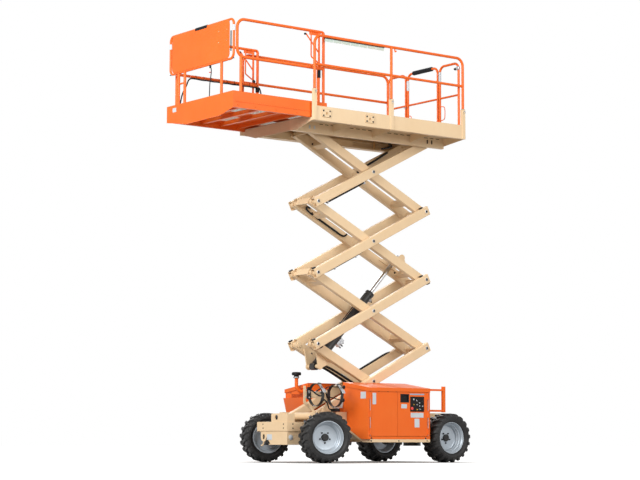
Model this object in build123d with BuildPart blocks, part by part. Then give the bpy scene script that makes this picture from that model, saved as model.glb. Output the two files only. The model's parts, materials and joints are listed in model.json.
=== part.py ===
from build123d import *

import os
from math import atan2, cos, degrees, hypot, radians, sin, sqrt

# Rough-terrain scissor lift, standing part raised with its front deck rolled out.
# Millimetres. +X is forward, towards the roll-out deck, +Y is the machine's left, +Z is up, and
# z = 0 is the ground. Lengthwise places are counted from mid_x, midway between the two axles.

# ---- Driving sizes ----------------------------------------------------------------------------
wheelbase = 2020
tyre_radius = 330
tyre_width = 300
wheel_y = 715  # middle of each tyre
kingpin_y = 597
steer_rest = 17.3  # degrees that the front wheels are turned to the right as it stands

arm_length = 2105  # pin to pin
arm_angle = 26.75  # degrees above level as it stands
fold_angle = 4.25  # the same, folded right down
top_angle = 58.95  # the same, right up
arm_depth = 125
arm_width = 75
arm_wall = 6
arm_end = 52  # tube past its end pin
arm_corner = 10
outer_arm_y = 254.5
inner_arm_y = 174.5
stages = 4
front_pin = 845  # fixed pins, ahead of mid_x
base_pin_z = 611
pin_radius = 20
pin_play = 0.05  # radial running clearance of every pin
pin_seat = 14  # depth of a pin's blind seat inside its arm
boss_radius = 40
boss_proud = 2  # a boss stands this far out of its arm
collar_radius = 30
collar_width = 6
seat_gap = 0.3  # between pieces that slide, swing or lie on each other

rail_inner_y = 312  # inner face of the chassis rails and of the deck's beams
rail_width = 60
rail_web = 8
rail_flange = 8
track_height = 62
track_end = 5  # track past its roller, folded and raised
roller_radius = 27
roller_width = 30
roller_y = rail_inner_y + 4

deck_nose = 488  # deck ahead of its fixed pins
deck_half_width = 830
channel_height = 190
channel_wall = 6
channel_flange = 45
floor_over_pin = 86  # underside of the main floor above the top pins
floor_thickness = 8
beam_under_pin = 56
channel_drop = 62  # channel's lower edge below the main floor
runway_drop = 22  # the roll-out deck's side beams run this far below the main floor
rail_tube = 19  # radius
rail_y = 815
rail_rise = 1054  # top rails above the floor
rail_mid_rise = 668
socket_size = 48
socket_rise = 343  # top of the rails' sockets above the floor

roll_out = 1231  # roll-out deck ahead of the main one as it stands
extension_overlap = 258
extension_half_width = 770
extension_floor_rise = 65  # underside of the roll-out floor above that of the main floor
extension_toe_rise = 189  # top of its toe boards, above the same
extension_rail_y = 745
extension_rail_rise = 1117
extension_low_rise = 630

# ---- Places that follow from them -------------------------------------------------------------
extension_front = front_pin + deck_nose + roll_out
front_to_rear = extension_front + wheelbase / 2 + tyre_radius
mid_x = front_to_rear / 2 - extension_front  # puts x = 0 at the middle of the whole length
front_axle_x = mid_x + wheelbase / 2
rear_axle_x = mid_x - wheelbase / 2
axle_z = tyre_radius
pin_x = mid_x + front_pin

rise = arm_length * sin(radians(arm_angle))
run = arm_length * cos(radians(arm_angle))
slider_x = pin_x - run
top_pin_z = base_pin_z + stages * rise
track_rear_x = pin_x - arm_length * cos(radians(fold_angle)) - roller_radius - track_end
track_front_x = pin_x - arm_length * cos(radians(top_angle)) + roller_radius + track_end
track_depth = rail_width - rail_web
rail_outer_y = rail_inner_y + rail_width

floor_z = top_pin_z + floor_over_pin  # underside of the main floor
floor_top_z = floor_z + floor_thickness
beam_bottom_z = top_pin_z - beam_under_pin
channel_bottom_z = floor_z - channel_drop
channel_top_z = channel_bottom_z + channel_height
runway_z = floor_z - runway_drop
socket_top_z = floor_top_z + socket_rise
rail_top_z = floor_top_z + rail_rise
rail_mid_z = floor_top_z + rail_mid_rise
deck_front_x = pin_x + deck_nose
deck_rear_x = track_rear_x - 2
extension_front_x = mid_x + extension_front
extension_rear_x = deck_front_x - extension_overlap
extension_floor_z = floor_z + extension_floor_rise
extension_top_z = extension_floor_z + floor_thickness
extension_toe_z = floor_z + extension_toe_rise
extension_rail_z = floor_top_z + extension_rail_rise
extension_low_z = floor_top_z + extension_low_rise


# ---- Forms that several pieces share ----------------------------------------------------------
def block(x0, x1, y0, y1, z0, z1):
    """A square-edged block between two corners."""
    with BuildPart() as made:
        with BuildSketch(Plane.XY.offset(z0)):
            with Locations(((x0 + x1) / 2, (y0 + y1) / 2)):
                Rectangle(abs(x1 - x0), abs(y1 - y0))
        extrude(amount=z1 - z0)
    return made.part


def side_plate(outline, y0, y1):
    """A plate cut to an outline of (x, z) points and lying between two widths."""
    with BuildPart() as made:
        with BuildSketch(Plane(origin=(0, max(y0, y1), 0), x_dir=(1, 0, 0), z_dir=(0, -1, 0))):
            with BuildLine():
                Polyline(*outline, close=True)
            make_face()
        extrude(amount=abs(y1 - y0))
    return made.part


def cross_plate(outline, x0, x1):
    """A plate cut to an outline of (y, z) points and standing across the machine."""
    with BuildPart() as made:
        with BuildSketch(Plane(origin=(min(x0, x1), 0, 0), x_dir=(0, 1, 0), z_dir=(1, 0, 0))):
            with BuildLine():
                Polyline(*outline, close=True)
            make_face()
        extrude(amount=abs(x1 - x0))
    return made.part


def mirrored(outline, side):
    """An outline of (y, z) points for the left (+1) or the right (-1)."""
    return [(side * y, z) for y, z in outline]


def rod(start, end, radius):
    """A round bar between two points."""
    with BuildPart() as made:
        with BuildSketch(Plane(origin=start, z_dir=Vector(*end) - Vector(*start))):
            Circle(radius)
        extrude(amount=(Vector(*end) - Vector(*start)).length)
    return made.part


def bent_tube(points, radius, bend):
    """A round tube along straight runs joined by bends."""
    with BuildPart() as made:
        with BuildLine() as path:
            FilletPolyline(*points, radius=bend)
        with BuildSketch(Plane(origin=path.line @ 0, z_dir=path.line % 0)):
            Circle(radius)
        sweep(path=path.line)
    return made.part


def across(x, z, radius, y0, y1):
    """A round bar along Y."""
    return rod((x, y0, z), (x, y1, z), radius)


def upright(x, y, z0, z1, radius):
    """A round bar along Z."""
    return rod((x, y, z0), (x, y, z1), radius)


def rolled_channel(x0, x1, side, z0, z1, pockets):
    """A lengthwise beam whose inner face opens into pockets = (x0, x1, z0, z1)."""
    mouth = side * (rail_inner_y - 1)
    web = side * (rail_inner_y + track_depth)
    with BuildPart() as made:
        add(block(x0, x1, side * rail_inner_y, side * rail_outer_y, z0, z1))
        for pocket_x0, pocket_x1, pocket_z0, pocket_z1 in pockets:
            add(block(pocket_x0, pocket_x1, mouth, web, pocket_z0, pocket_z1), mode=Mode.SUBTRACT)
    return made.part


# ---- Scissor arms -----------------------------------------------------------------------------
tie_length = 90  # a tie's size along its arm
tie_height = 60
tie_wall = 5
end_plate_gap = 38  # from the end pin's axis to the plate across the arms' open ends
end_plate_thickness = 10
end_plate_height = 90
front_tube_radius = 48  # the first outer arms' tie, round their pins


class Arm:
    """One leaf of the stack: its first pin, its slope and points along and beside it."""

    def __init__(self, stage, outer):
        self.base_z = base_pin_z + stage * rise
        self.sign = -1 if outer else 1  # outer arms rise to the rear, inner arms to the front
        self.start_x = pin_x if outer else slider_x
        self.middle_y = outer_arm_y if outer else inner_arm_y
        self.inner_face = self.middle_y - arm_width / 2
        self.slope = (self.sign * cos(radians(arm_angle)), 0, sin(radians(arm_angle)))

    def at(self, along, above=0):
        """The (x, z) point this far along the arm and this far above its centre line."""
        slope = radians(arm_angle)
        x = self.start_x + self.sign * (along * cos(slope) - above * sin(slope))
        return x, self.base_z + along * sin(slope) + above * cos(slope)

    def tubes(self):
        """The two hollow rectangular tubes, left and right."""
        made = []
        x, z = self.at(-arm_end)
        for side in (1, -1):
            place = Plane(origin=(x, side * self.middle_y, z), x_dir=(0, 1, 0), z_dir=self.slope)
            with BuildPart() as tube:
                with BuildSketch(place):
                    RectangleRounded(arm_width, arm_depth, arm_corner)
                    Rectangle(arm_width - 2 * arm_wall, arm_depth - 2 * arm_wall, mode=Mode.SUBTRACT)
                extrude(amount=arm_length + 2 * arm_end)
            made.append(tube.part)
        return made

    def bosses(self):
        """A round boss through each tube at both end pins and at the middle."""
        half = arm_width / 2 + boss_proud
        made = []
        for along in (0, arm_length / 2, arm_length):
            x, z = self.at(along)
            for side in (1, -1):
                middle = side * self.middle_y
                made.append(across(x, z, boss_radius, middle - half, middle + half))
        return made

    def bores(self, places, core=0):
        """The pin holes at some of the arm's places, each side out from a solid core."""
        made = []
        reach = self.middle_y + arm_width
        for along in places:
            x, z = self.at(along)
            for side in (1, -1):
                made.append(across(x, z, pin_radius + pin_play, side * core, side * reach))
        return made

    def short_pins(self, along):
        """A pin through each inner arm, from the outer arm to a collar inside."""
        x, z = self.at(along)
        made = []
        for side in (1, -1):
            low, high = side * (collar_y - collar_width), side * collar_y
            made.append(across(x, z, pin_radius, low, side * outer_arm_y))
            made.append(across(x, z, collar_radius, low, high))
        return made

    def shaft(self, along, reach):
        """One shaft right across the machine."""
        x, z = self.at(along)
        return across(x, z, pin_radius, -reach, reach)

    def rollers(self, along):
        """The shaft and the two rollers at the arm's sliding end."""
        x, z = self.at(along)
        made = [self.shaft(along, roller_y + roller_width)]
        for side in (1, -1):
            made.append(across(x, z, roller_radius, side * roller_y, side * (roller_y + roller_width)))
        return made

    def cross_bar(self, along, length, height, wall=0):
        """A flat bar, or a rectangular tube, that ties the left arm to the right one."""
        reach = self.inner_face + 2
        x, z = self.at(along)
        with BuildPart() as made:
            with BuildSketch(Plane(origin=(x, -reach, z), x_dir=self.slope, z_dir=(0, 1, 0))):
                Rectangle(length, height)
                if wall:
                    Rectangle(length - 2 * wall, height - 2 * wall, mode=Mode.SUBTRACT)
            extrude(amount=2 * reach)
        return made.part


outer_arm = [Arm(stage, outer=True) for stage in range(stages)]
inner_arm = [Arm(stage, outer=False) for stage in range(stages)]
collar_y = inner_arm[0].inner_face - boss_proud - 2  # outer face of the pins' collars

# Lift cylinder: the lower pin hangs under the first inner arms near their front end, and the
# upper pin stands on the third inner arms near their rear end.
lower_lug_along = arm_length - 269
lower_lug_above = -185
lower_lug_spread = 170  # half of a lug's length at its root
upper_lug_along = 403
upper_lug_above = 128
upper_lug_spread = 180
lug_pin_radius = 25
lug_radius = 46
lug_thickness = 16
lug_gap = 5.5  # between a lug and the arms that fold down past it
lug_root = 15  # the lugs start this far from their arm's centre line
barrel_radius = 55
barrel_bore = 36
barrel_length = 1400  # lower pin to the end of the gland
barrel_foot = 40
gland_radius = 62
gland_length = 60
gland_seal = 200  # the rod's guide, back from the gland's end
piston_rod_radius = 30
piston_rod_length = 1465
barrel_eye_radius = 50
barrel_eye_half = 50
rod_eye_radius = 45
rod_eye_half = 25
stub_inner_y = 32  # inner end of the upper pin's two stubs

lower_pin = inner_arm[0].at(lower_lug_along, lower_lug_above)
upper_pin = inner_arm[2].at(upper_lug_along, upper_lug_above)
cylinder_length = hypot(upper_pin[0] - lower_pin[0], upper_pin[1] - lower_pin[1])
cylinder_way = Vector(upper_pin[0] - lower_pin[0], 0, upper_pin[1] - lower_pin[1]).normalized()
lug_outer_y = inner_arm[0].inner_face - lug_gap


def lug_plates(arm, along, above, spread):
    """Two triangular lugs, each on a pad on the inner face of its inner arm."""
    toward = 1 if above > 0 else -1
    lug = [
        arm.at(along - spread, toward * lug_root),
        arm.at(along + spread, toward * lug_root),
        arm.at(along + lug_radius * 0.9, above),
        arm.at(along - lug_radius * 0.9, above),
    ]
    pad_edge = arm_depth / 2 - arm_corner
    pad = [
        arm.at(along - spread, toward * lug_root),
        arm.at(along + spread, toward * lug_root),
        arm.at(along + spread * 0.8, toward * pad_edge),
        arm.at(along - spread * 0.8, toward * pad_edge),
    ]
    made = []
    x, z = arm.at(along, above)
    for side in (1, -1):
        high, low = side * lug_outer_y, side * (lug_outer_y - lug_thickness)
        made.append(side_plate(lug, low, high))
        made.append(across(x, z, lug_radius, low, high))
        made.append(side_plate(pad, side * (lug_outer_y - 1), side * (arm.inner_face + 1)))
    return made


# Outer arms. Each carries the pins that its neighbours turn on; the first turns on the chassis.
outer_parts = []
for stage, arm in enumerate(outer_arm):
    with BuildPart() as outer_arms:
        add(arm.tubes())
        add(arm.bosses())
        if stage == 0:
            x, z = arm.at(0)
            add(across(x, z, front_tube_radius, -arm.inner_face - 2, arm.inner_face + 2))
            add(arm.bores([0], core=arm.inner_face - pin_seat), mode=Mode.SUBTRACT)
        elif stage == 1:
            add(arm.short_pins(0))
        else:
            add(arm.shaft(0, outer_arm_y))
        add(arm.short_pins(arm_length / 2))
        if stage == stages - 1:
            add(arm.rollers(arm_length))
        else:
            add(arm.shaft(arm_length, outer_arm_y))
    outer_arms.part.label = f"outer_arms_{stage + 1}"
    outer_parts.append(outer_arms.part)

# Inner arms. Each pair is tied by cross tubes near its ends and turns on the outer arms' pins.
# tie = (distances along the arm of its cross tubes)
ties = [(300,), (300, arm_length - 220), (190, arm_length - 300), (270, arm_length - 300)]
inner_parts = []
for stage, arm in enumerate(inner_arm):
    turning = [0, arm_length / 2, arm_length]
    if stage == 0:
        turning = [arm_length / 2, arm_length]
    plate_along = end_plate_gap + end_plate_thickness / 2
    with BuildPart() as inner_arms:
        add(arm.tubes())
        add(arm.bosses())
        for along in ties[stage]:
            add(arm.cross_bar(along, tie_length, tie_height, tie_wall))
        add(arm.cross_bar(-plate_along, end_plate_thickness, end_plate_height))
        if stage > 0:
            add(arm.cross_bar(arm_length + plate_along, end_plate_thickness, end_plate_height))
        if stage == 0:
            add(lug_plates(arm, lower_lug_along, lower_lug_above, lower_lug_spread))
            add(across(*lower_pin, lug_pin_radius, -lug_outer_y, lug_outer_y))
            add(arm.rollers(0))
        if stage == 2:
            add(lug_plates(arm, upper_lug_along, upper_lug_above, upper_lug_spread))
            for side in (1, -1):
                add(across(*upper_pin, lug_pin_radius, side * stub_inner_y, side * lug_outer_y))
        add(arm.bores(turning), mode=Mode.SUBTRACT)
    inner_arms.part.label = f"inner_arms_{stage + 1}"
    inner_parts.append(inner_arms.part)


# ---- Lift cylinder ----------------------------------------------------------------------------
def on_cylinder(distance):
    """The point this far from the lower pin towards the upper one."""
    spot = Vector(lower_pin[0], 0, lower_pin[1]) + cylinder_way * distance
    return spot.X, spot.Y, spot.Z


with BuildPart() as lift_barrel:
    gland_start = barrel_length - gland_length
    add(rod(on_cylinder(barrel_foot), on_cylinder(barrel_length), barrel_radius))
    add(rod(on_cylinder(gland_start), on_cylinder(barrel_length), gland_radius))
    add(across(*lower_pin, barrel_eye_radius, -barrel_eye_half, barrel_eye_half))
    add(rod(on_cylinder(barrel_foot + 30), on_cylinder(gland_start), barrel_bore), mode=Mode.SUBTRACT)
    guide = (on_cylinder(barrel_length - gland_seal), on_cylinder(barrel_length + 10))
    add(rod(*guide, piston_rod_radius + pin_play), mode=Mode.SUBTRACT)
    add(across(*lower_pin, lug_pin_radius + pin_play, -arm_width, arm_width), mode=Mode.SUBTRACT)
lift_barrel.part.label = "lift_barrel"

with BuildPart() as lift_rod:
    rod_start = cylinder_length - piston_rod_length
    add(rod(on_cylinder(rod_start), on_cylinder(cylinder_length), piston_rod_radius))
    add(across(*upper_pin, rod_eye_radius, -rod_eye_half, rod_eye_half))
    add(across(*upper_pin, lug_pin_radius + 1, -arm_width, arm_width), mode=Mode.SUBTRACT)
lift_rod.part.label = "lift_rod"



# ---- Chassis ----------------------------------------------------------------------------------
rail_bottom_z = base_pin_z - 211
chassis_rail_z = base_pin_z + 54
lower_pocket_top_z = base_pin_z - track_height / 2 - rail_flange
cross_member_top_z = rail_bottom_z + 95
chassis_rear_x = track_rear_x - 14
chassis_front_x = pin_x + 140
nose_front_x = front_axle_x + 368
nose_rear_x = chassis_front_x - 80
nose_half = 325
nose_wall = 12
nose_top_z = 525
nose_bottom_z = 234
nose_box_y = -100  # right edge of the nose's lower box
band_thickness = 10  # bumper band round the nose
axle_half = 50
axle_gap = 20
nose_plate_x = nose_front_x - band_thickness  # front face of the nose's plate
nose_box_x = nose_plate_x - nose_wall
bulkhead_x = front_axle_x + axle_half + axle_gap
bulkhead_bottom_z = 290
axle_pivot_radius = 45

# Side housings and the cream trays that they stand in.
housing_outer_y = 825
housing_inner_y = 308
housing_seat_y = rail_outer_y + seat_gap  # the lower part stands against the chassis rail
housing_bottom_z = 309
housing_slope_y = 682  # the floor rises from here to the rail, clear of the steered wheels
housing_slope_z = 463
housing_wall = 5
housing_rear_x = rear_axle_x + tyre_radius + 50
tray_depth = 40
tray_front_x = front_axle_x - 615
tray_wall = 5

with BuildPart() as chassis_frame:
    for side in (1, -1):
        pockets = [
            (chassis_rear_x + 10, chassis_front_x - 10, rail_bottom_z + rail_flange, lower_pocket_top_z),
            (track_rear_x, track_front_x, base_pin_z - track_height / 2, base_pin_z + track_height / 2),
        ]
        add(rolled_channel(chassis_rear_x, chassis_front_x, side, rail_bottom_z, chassis_rail_z, pockets))
        # pin of the first outer arms
        pin_end = outer_arm[0].inner_face - pin_seat + 4
        add(across(pin_x, base_pin_z, pin_radius, side * pin_end, side * rail_inner_y))
        # rear axle saddle
        low, high = side * rail_inner_y, side * rail_outer_y
        add(block(rear_axle_x - 70, rear_axle_x + 70, low, high, axle_z + 70, rail_bottom_z + 5))
        # tray under the housing, folded from sheet and open below
        tray = [
            (rail_outer_y - 1, housing_slope_z), (housing_slope_y, housing_bottom_z),
            (housing_outer_y, housing_bottom_z), (housing_outer_y, housing_bottom_z - tray_depth),
            (housing_slope_y - 8, housing_bottom_z - tray_depth), (rail_outer_y - 1, housing_slope_z - 45),
        ]
        under = [
            (rail_outer_y - 2, housing_slope_z - tray_wall),
            (housing_slope_y - 1, housing_bottom_z - tray_wall),
            (housing_outer_y - tray_wall, housing_bottom_z - tray_wall),
            (housing_outer_y - tray_wall, housing_bottom_z - tray_depth - 1),
            (housing_slope_y - 9, housing_bottom_z - tray_depth - 1),
            (rail_outer_y - 2, housing_slope_z - 46),
        ]
        add(cross_plate(mirrored(tray, side), housing_rear_x, tray_front_x))
        hollow = cross_plate(mirrored(under, side), housing_rear_x + tray_wall, tray_front_x - tray_wall)
        add(hollow, mode=Mode.SUBTRACT)
        # nose side, deeper on the left
        left = [
            (nose_rear_x, rail_bottom_z), (bulkhead_x, rail_bottom_z), (bulkhead_x, bulkhead_bottom_z),
            (front_axle_x + 120, nose_bottom_z), (nose_box_x, nose_bottom_z), (nose_box_x, nose_top_z),
            (nose_rear_x, nose_top_z),
        ]
        right = [
            (nose_rear_x, rail_bottom_z), (nose_box_x, rail_bottom_z), (nose_box_x, nose_top_z),
            (nose_rear_x, nose_top_z),
        ]
        add(side_plate(left if side > 0 else right, side * nose_half, side * (nose_half - nose_wall)))
    # cross members, their ends inside the rails
    reach = rail_inner_y + track_depth + 2
    for x0, length in (
        (chassis_rear_x, 75), (rear_axle_x + 290, 80), (pin_x - 445, 80), (nose_rear_x, 55),
    ):
        add(block(x0, x0 + length, -reach, reach, rail_bottom_z, cross_member_top_z))
    # nose: top, bottom, the lower box's right side and the bulkhead that carries the axle's pivot
    inside = nose_half - 2
    add(block(nose_rear_x, nose_box_x, -inside, inside, nose_top_z - nose_wall, nose_top_z))
    add(block(front_axle_x + 120, nose_box_x, nose_box_y, inside, nose_bottom_z, nose_bottom_z + nose_wall))
    add(block(bulkhead_x, nose_box_x, nose_box_y, nose_box_y + nose_wall, 300, rail_bottom_z + 20))
    add(block(bulkhead_x, nose_box_x, -inside, nose_box_y + 1, rail_bottom_z, rail_bottom_z + nose_wall))
    add(block(bulkhead_x, bulkhead_x + nose_wall, -inside, inside, bulkhead_bottom_z, nose_top_z))
    add(rod((bulkhead_x - axle_gap, 0, axle_z), (bulkhead_x + 5, 0, axle_z), axle_pivot_radius))
chassis_frame.part.label = "chassis_frame"

# Plate across the nose: a raised ear with a round hole, a towing lobe with an oval one, and the
# bumper band that wraps on to the nose's sides.
band_z0, band_z1 = 412, 533
ear_z = 640
ear_right_y = -30
ear_hole = (83, 588)
ear_hole_radius = 33
lobe = (-200, 337)
lobe_radius = 62
lobe_hole_width = 44
lobe_hole_height = 72
wrap_rear_x = front_axle_x + 121

with BuildPart() as nose_plate:
    face = [
        (nose_half, nose_bottom_z), (nose_half, ear_z), (ear_right_y, ear_z), (ear_right_y, band_z1),
        (-nose_half, band_z1), (-nose_half, band_z0), (lobe[0] - lobe_radius, band_z0),
        (lobe[0] - lobe_radius, lobe[1]), (lobe[0] + lobe_radius, lobe[1]), (nose_box_y, 300),
        (nose_box_y + 64, nose_bottom_z),
    ]
    add(cross_plate(face, nose_box_x, nose_plate_x))
    add(rod((nose_box_x, *lobe), (nose_plate_x, *lobe), lobe_radius))
    wrap_y = nose_half + band_thickness
    add(block(nose_plate_x - 1, nose_front_x, -wrap_y, wrap_y, band_z0, band_z1))
    for side in (1, -1):
        add(block(wrap_rear_x, nose_front_x, side * nose_half, side * wrap_y, band_z0 - 3, band_z1 - 5))
    ear_rear_x = nose_box_x - 105
    add(block(ear_rear_x, nose_box_x + 1, ear_right_y, nose_half, ear_z - 8, ear_z))
    add(block(ear_rear_x, nose_box_x + 1, nose_half - 8, nose_half, nose_top_z, ear_z))
    with BuildSketch(Plane(origin=(nose_box_x - 1, 0, 0), x_dir=(0, 1, 0), z_dir=(1, 0, 0))):
        with Locations(ear_hole):
            Circle(ear_hole_radius)
        with Locations(lobe):
            SlotOverall(lobe_hole_height, lobe_hole_width, rotation=90)
    extrude(amount=nose_wall + 2, mode=Mode.SUBTRACT)
nose_plate.part.label = "nose_plate"

with BuildPart() as front_axle:
    beam_end = kingpin_y - 60
    x0, x1 = front_axle_x - axle_half, front_axle_x + axle_half
    add(block(x0, x1, -beam_end, beam_end, axle_z - 50, axle_z + 50))
    for side in (1, -1):
        near, far = side * (beam_end - 40), side * (kingpin_y + 40)
        for z0 in (axle_z - 100, axle_z + 80):
            add(block(front_axle_x - 45, front_axle_x + 45, near, far, z0, z0 + 20))
        back = side * (beam_end - 15)
        add(block(front_axle_x - 45, front_axle_x + 45, near, back, axle_z - 100, axle_z + 100))
        bore = upright(front_axle_x, side * kingpin_y, axle_z - 130, axle_z + 130, 22 + pin_play)
        add(bore, mode=Mode.SUBTRACT)
front_axle.part.label = "front_axle"

# ---- Wheels -----------------------------------------------------------------------------------
rim_radius = 212
bead_radius = 205
bead_half = 112
rim_half = 118
disc_face = -12  # the wheel disc's outboard face, from the tyre's middle
disc_thickness = 12
hub_radius = 47
stud_circle = 70
stud_radius = 9
stud_count = 5
casing_sides = 40
lug_count = 20
lug_base_radius = 285
lug_half_width = 24
lug_sweep = 34  # how far a lug runs round from the middle to the shoulder
lug_reach = lug_half_width + lug_sweep
lug_top_radius = sqrt(tyre_radius**2 - lug_reach**2)  # a lug's flat top, its far corner at the tyre's radius
lug_turn = degrees(atan2(lug_reach, lug_top_radius))  # brings such a corner to the ground

with BuildPart() as rear_axle:
    add(across(rear_axle_x, axle_z, 60, -kingpin_y + 40, kingpin_y - 40))
    add(upright(rear_axle_x, 0, axle_z - 110, axle_z + 110, 120))
    for side in (1, -1):
        add(block(rear_axle_x - 60, rear_axle_x + 60, side * 300, side * 380, axle_z - 70, axle_z + 70))
        add(across(rear_axle_x, axle_z, 95, side * 470, side * (kingpin_y - 20)))
        add(across(rear_axle_x, axle_z, hub_radius, side * 470, side * (wheel_y + disc_face + 8)))
rear_axle.part.label = "rear_axle"


def wheel_seat(axle_x, side, turn):
    """The wheel's own frame: z runs outboard along its axle, x up."""
    outboard = Vector(side * sin(radians(turn)), side * cos(radians(turn)), 0)
    arm = wheel_y - kingpin_y
    centre = Vector(axle_x, side * kingpin_y, axle_z) + outboard * arm
    return Plane(origin=centre, x_dir=Vector(0, 0, 1), z_dir=outboard)


def casing_ring(z0, radius0, z1, radius1):
    """One stretch of the tyre's many-sided casing between two radii."""
    half_turn = 180 / casing_sides
    with BuildPart() as made:
        for z, radius in ((z0, radius0), (z1, radius1)):
            with BuildSketch(Plane.XY.offset(z)):
                RegularPolygon(radius, casing_sides, major_radius=False, rotation=half_turn)
        loft(ruled=True)
    return made.part


def tyre_shape():
    """A tyre about the Z axis, its lugs in two staggered rows."""
    # station = (distance from the tyre's middle, radius)
    stations = [(-146, 262), (-130, 297), (-60, 305), (60, 305), (130, 297), (146, 262)]
    with BuildPart() as made:
        for (z0, radius0), (z1, radius1) in zip(stations, stations[1:]):
            add(casing_ring(z0, radius0, z1, radius1))
        for row in (1, -1):
            for n in range(lug_count):
                turn = radians((n + (0.5 if row < 0 else 0)) * 360 / lug_count - lug_turn)
                outward = (cos(turn), sin(turn), 0)
                start = Vector(*outward) * lug_base_radius
                add(lug_block(Plane(origin=start, x_dir=(-sin(turn), cos(turn), 0), z_dir=outward), row))
        with BuildSketch(Plane.XY.offset(-tyre_width)):
            Circle(bead_radius)
        extrude(amount=2 * tyre_width, mode=Mode.SUBTRACT)
        for z in (-bead_half, bead_half):
            lip = 1 if z > 0 else -1
            with BuildSketch(Plane.XY.offset(z)):
                Circle(rim_radius + 1)
            extrude(amount=lip * tyre_width, mode=Mode.SUBTRACT)
    return made.part


def lug_block(face, row):
    """One bar of the tread, running out and back from the middle to the shoulder."""
    shoulder = tyre_width / 2
    with BuildPart() as made:
        with BuildSketch(face):
            with BuildLine():
                Polyline(
                    (-lug_half_width, row * -8), (lug_half_width, row * -8),
                    (lug_reach, row * 78), (lug_reach, row * shoulder),
                    (lug_reach - 2 * lug_half_width, row * shoulder),
                    (lug_reach - 2 * lug_half_width, row * 70),
                    close=True,
                )
            make_face()
        extrude(amount=lug_top_radius - lug_base_radius)
    return made.part


def rim_shape():
    """A dished steel rim about the Z axis with its disc, stud holes and hub bore."""
    inner_face = disc_face - disc_thickness
    bore = hub_radius + pin_play
    with BuildPart() as made:
        with BuildSketch(Plane.XZ):
            with BuildLine():
                Polyline(
                    (bore, inner_face - 20), (hub_radius + 14, inner_face - 20),
                    (hub_radius + 14, inner_face),
                    (172, inner_face), (190, inner_face - 24), (196, -rim_half), (rim_radius, -rim_half),
                    (rim_radius, -bead_half), (bead_radius, -bead_half), (bead_radius, bead_half),
                    (rim_radius, bead_half), (rim_radius, rim_half), (203, rim_half), (198, 96), (190, 92),
                    (186, 50), (178, 44), (174, disc_face + 12), (162, disc_face), (bore, disc_face),
                    close=True,
                )
            make_face()
        revolve(axis=Axis.Z)
        with BuildSketch(Plane.XY.offset(inner_face - 5)):
            with PolarLocations(stud_circle, stud_count):
                Circle(stud_radius)
        extrude(amount=disc_thickness + 10, mode=Mode.SUBTRACT)
    return made.part


tyre_blank = tyre_shape()
rim_blank = rim_shape()
# place = (name, axle, side, turn of the wheel to the right)
wheel_places = [
    ("front_left", front_axle_x, 1, steer_rest),
    ("front_right", front_axle_x, -1, steer_rest),
    ("rear_left", rear_axle_x, 1, 0),
    ("rear_right", rear_axle_x, -1, 0),
]
wheel_parts = []
for name, axle_x, side, turn in wheel_places:
    seat = wheel_seat(axle_x, side, turn)
    with BuildPart() as tyre:
        add(tyre_blank.moved(seat.location))
    tyre.part.label = f"tyre_{name}"
    with BuildPart() as rim:
        add(rim_blank.moved(seat.location))
    rim.part.label = f"rim_{name}"
    wheel_parts += [tyre.part, rim.part]

kingpin_half = 78
knuckle_radius = 38
knuckle_parts = []
for name, axle_x, side, turn in wheel_places[:2]:
    seat = wheel_seat(axle_x, side, turn)
    start = Vector(axle_x, side * kingpin_y, axle_z)
    with BuildPart() as knuckle:
        add(upright(axle_x, side * kingpin_y, axle_z - kingpin_half, axle_z + kingpin_half, knuckle_radius))
        add(upright(axle_x, side * kingpin_y, axle_z - 102, axle_z + 102, 22))
        add(rod(tuple(start), tuple(seat.origin + seat.z_dir * (disc_face + 8)), hub_radius))
        add(rod(tuple(start), tuple(start + seat.z_dir * 55), 64))
    knuckle.part.label = f"knuckle_{name}"
    knuckle_parts.append(knuckle.part)

# ---- Side housings ----------------------------------------------------------------------------
housing_eave_z = 979
housing_ridge_z = 1054
housing_notch_z = chassis_rail_z + seat_gap  # the upper part reaches in over the rail
lid_thickness = 6
lid_overhang = 9
lid_skirt = 45
lid_inner_y = 300
lid_front = 12  # lid past its housing's front
door_bottom_z = 349
door_top_z = 930
door_gap = 4
door_thickness = 20
front_hinge_x = front_axle_x - 610
rear_hinge_x = housing_rear_x + 40
door_seam_x = (front_hinge_x + rear_hinge_x) / 2 + 28
hinge_y = housing_outer_y + 5
leaf_y = hinge_y - 3  # outer face of a door
hinge_radius = 9
hinge_pin_radius = 4
leaf_gap = 13  # a leaf stops short of its hinge line
hinge_length = 30  # half of a door's hinge barrel
hinge_heights = (410, 640, 880)
# On the left rear door: a window and the recess for the ground controls.
window = (door_seam_x - 190, door_seam_x - 54, 800, 900)
controls = (rear_hinge_x + 66, rear_hinge_x + 305, 674, 873)
controls_recess = 12
controls_proud = 3

# housing = (name, side, profile of its front face as (x, z) from the bottom up)
right_front = [
    (front_axle_x - 577, housing_bottom_z), (front_axle_x - 469, 665), (front_axle_x - 416, 866),
    (front_axle_x - 455, 866.5), (front_axle_x - 455, housing_ridge_z + 100),
]
left_front = [(front_axle_x - 580, housing_bottom_z), (front_axle_x - 580, housing_ridge_z + 100)]
housings = [("left", 1, left_front), ("right", -1, right_front)]
# door = (name's ending, hinge line, the leaf's other edge)
doors = [
    ("door", front_hinge_x, door_seam_x + door_gap / 2),
    ("rear_door", rear_hinge_x, door_seam_x - door_gap / 2),
]


def hinge_barrel(x, side, z0, z1, radius):
    """A stretch of one hinge line."""
    return upright(x, side * hinge_y, z0, z1, radius)


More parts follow.
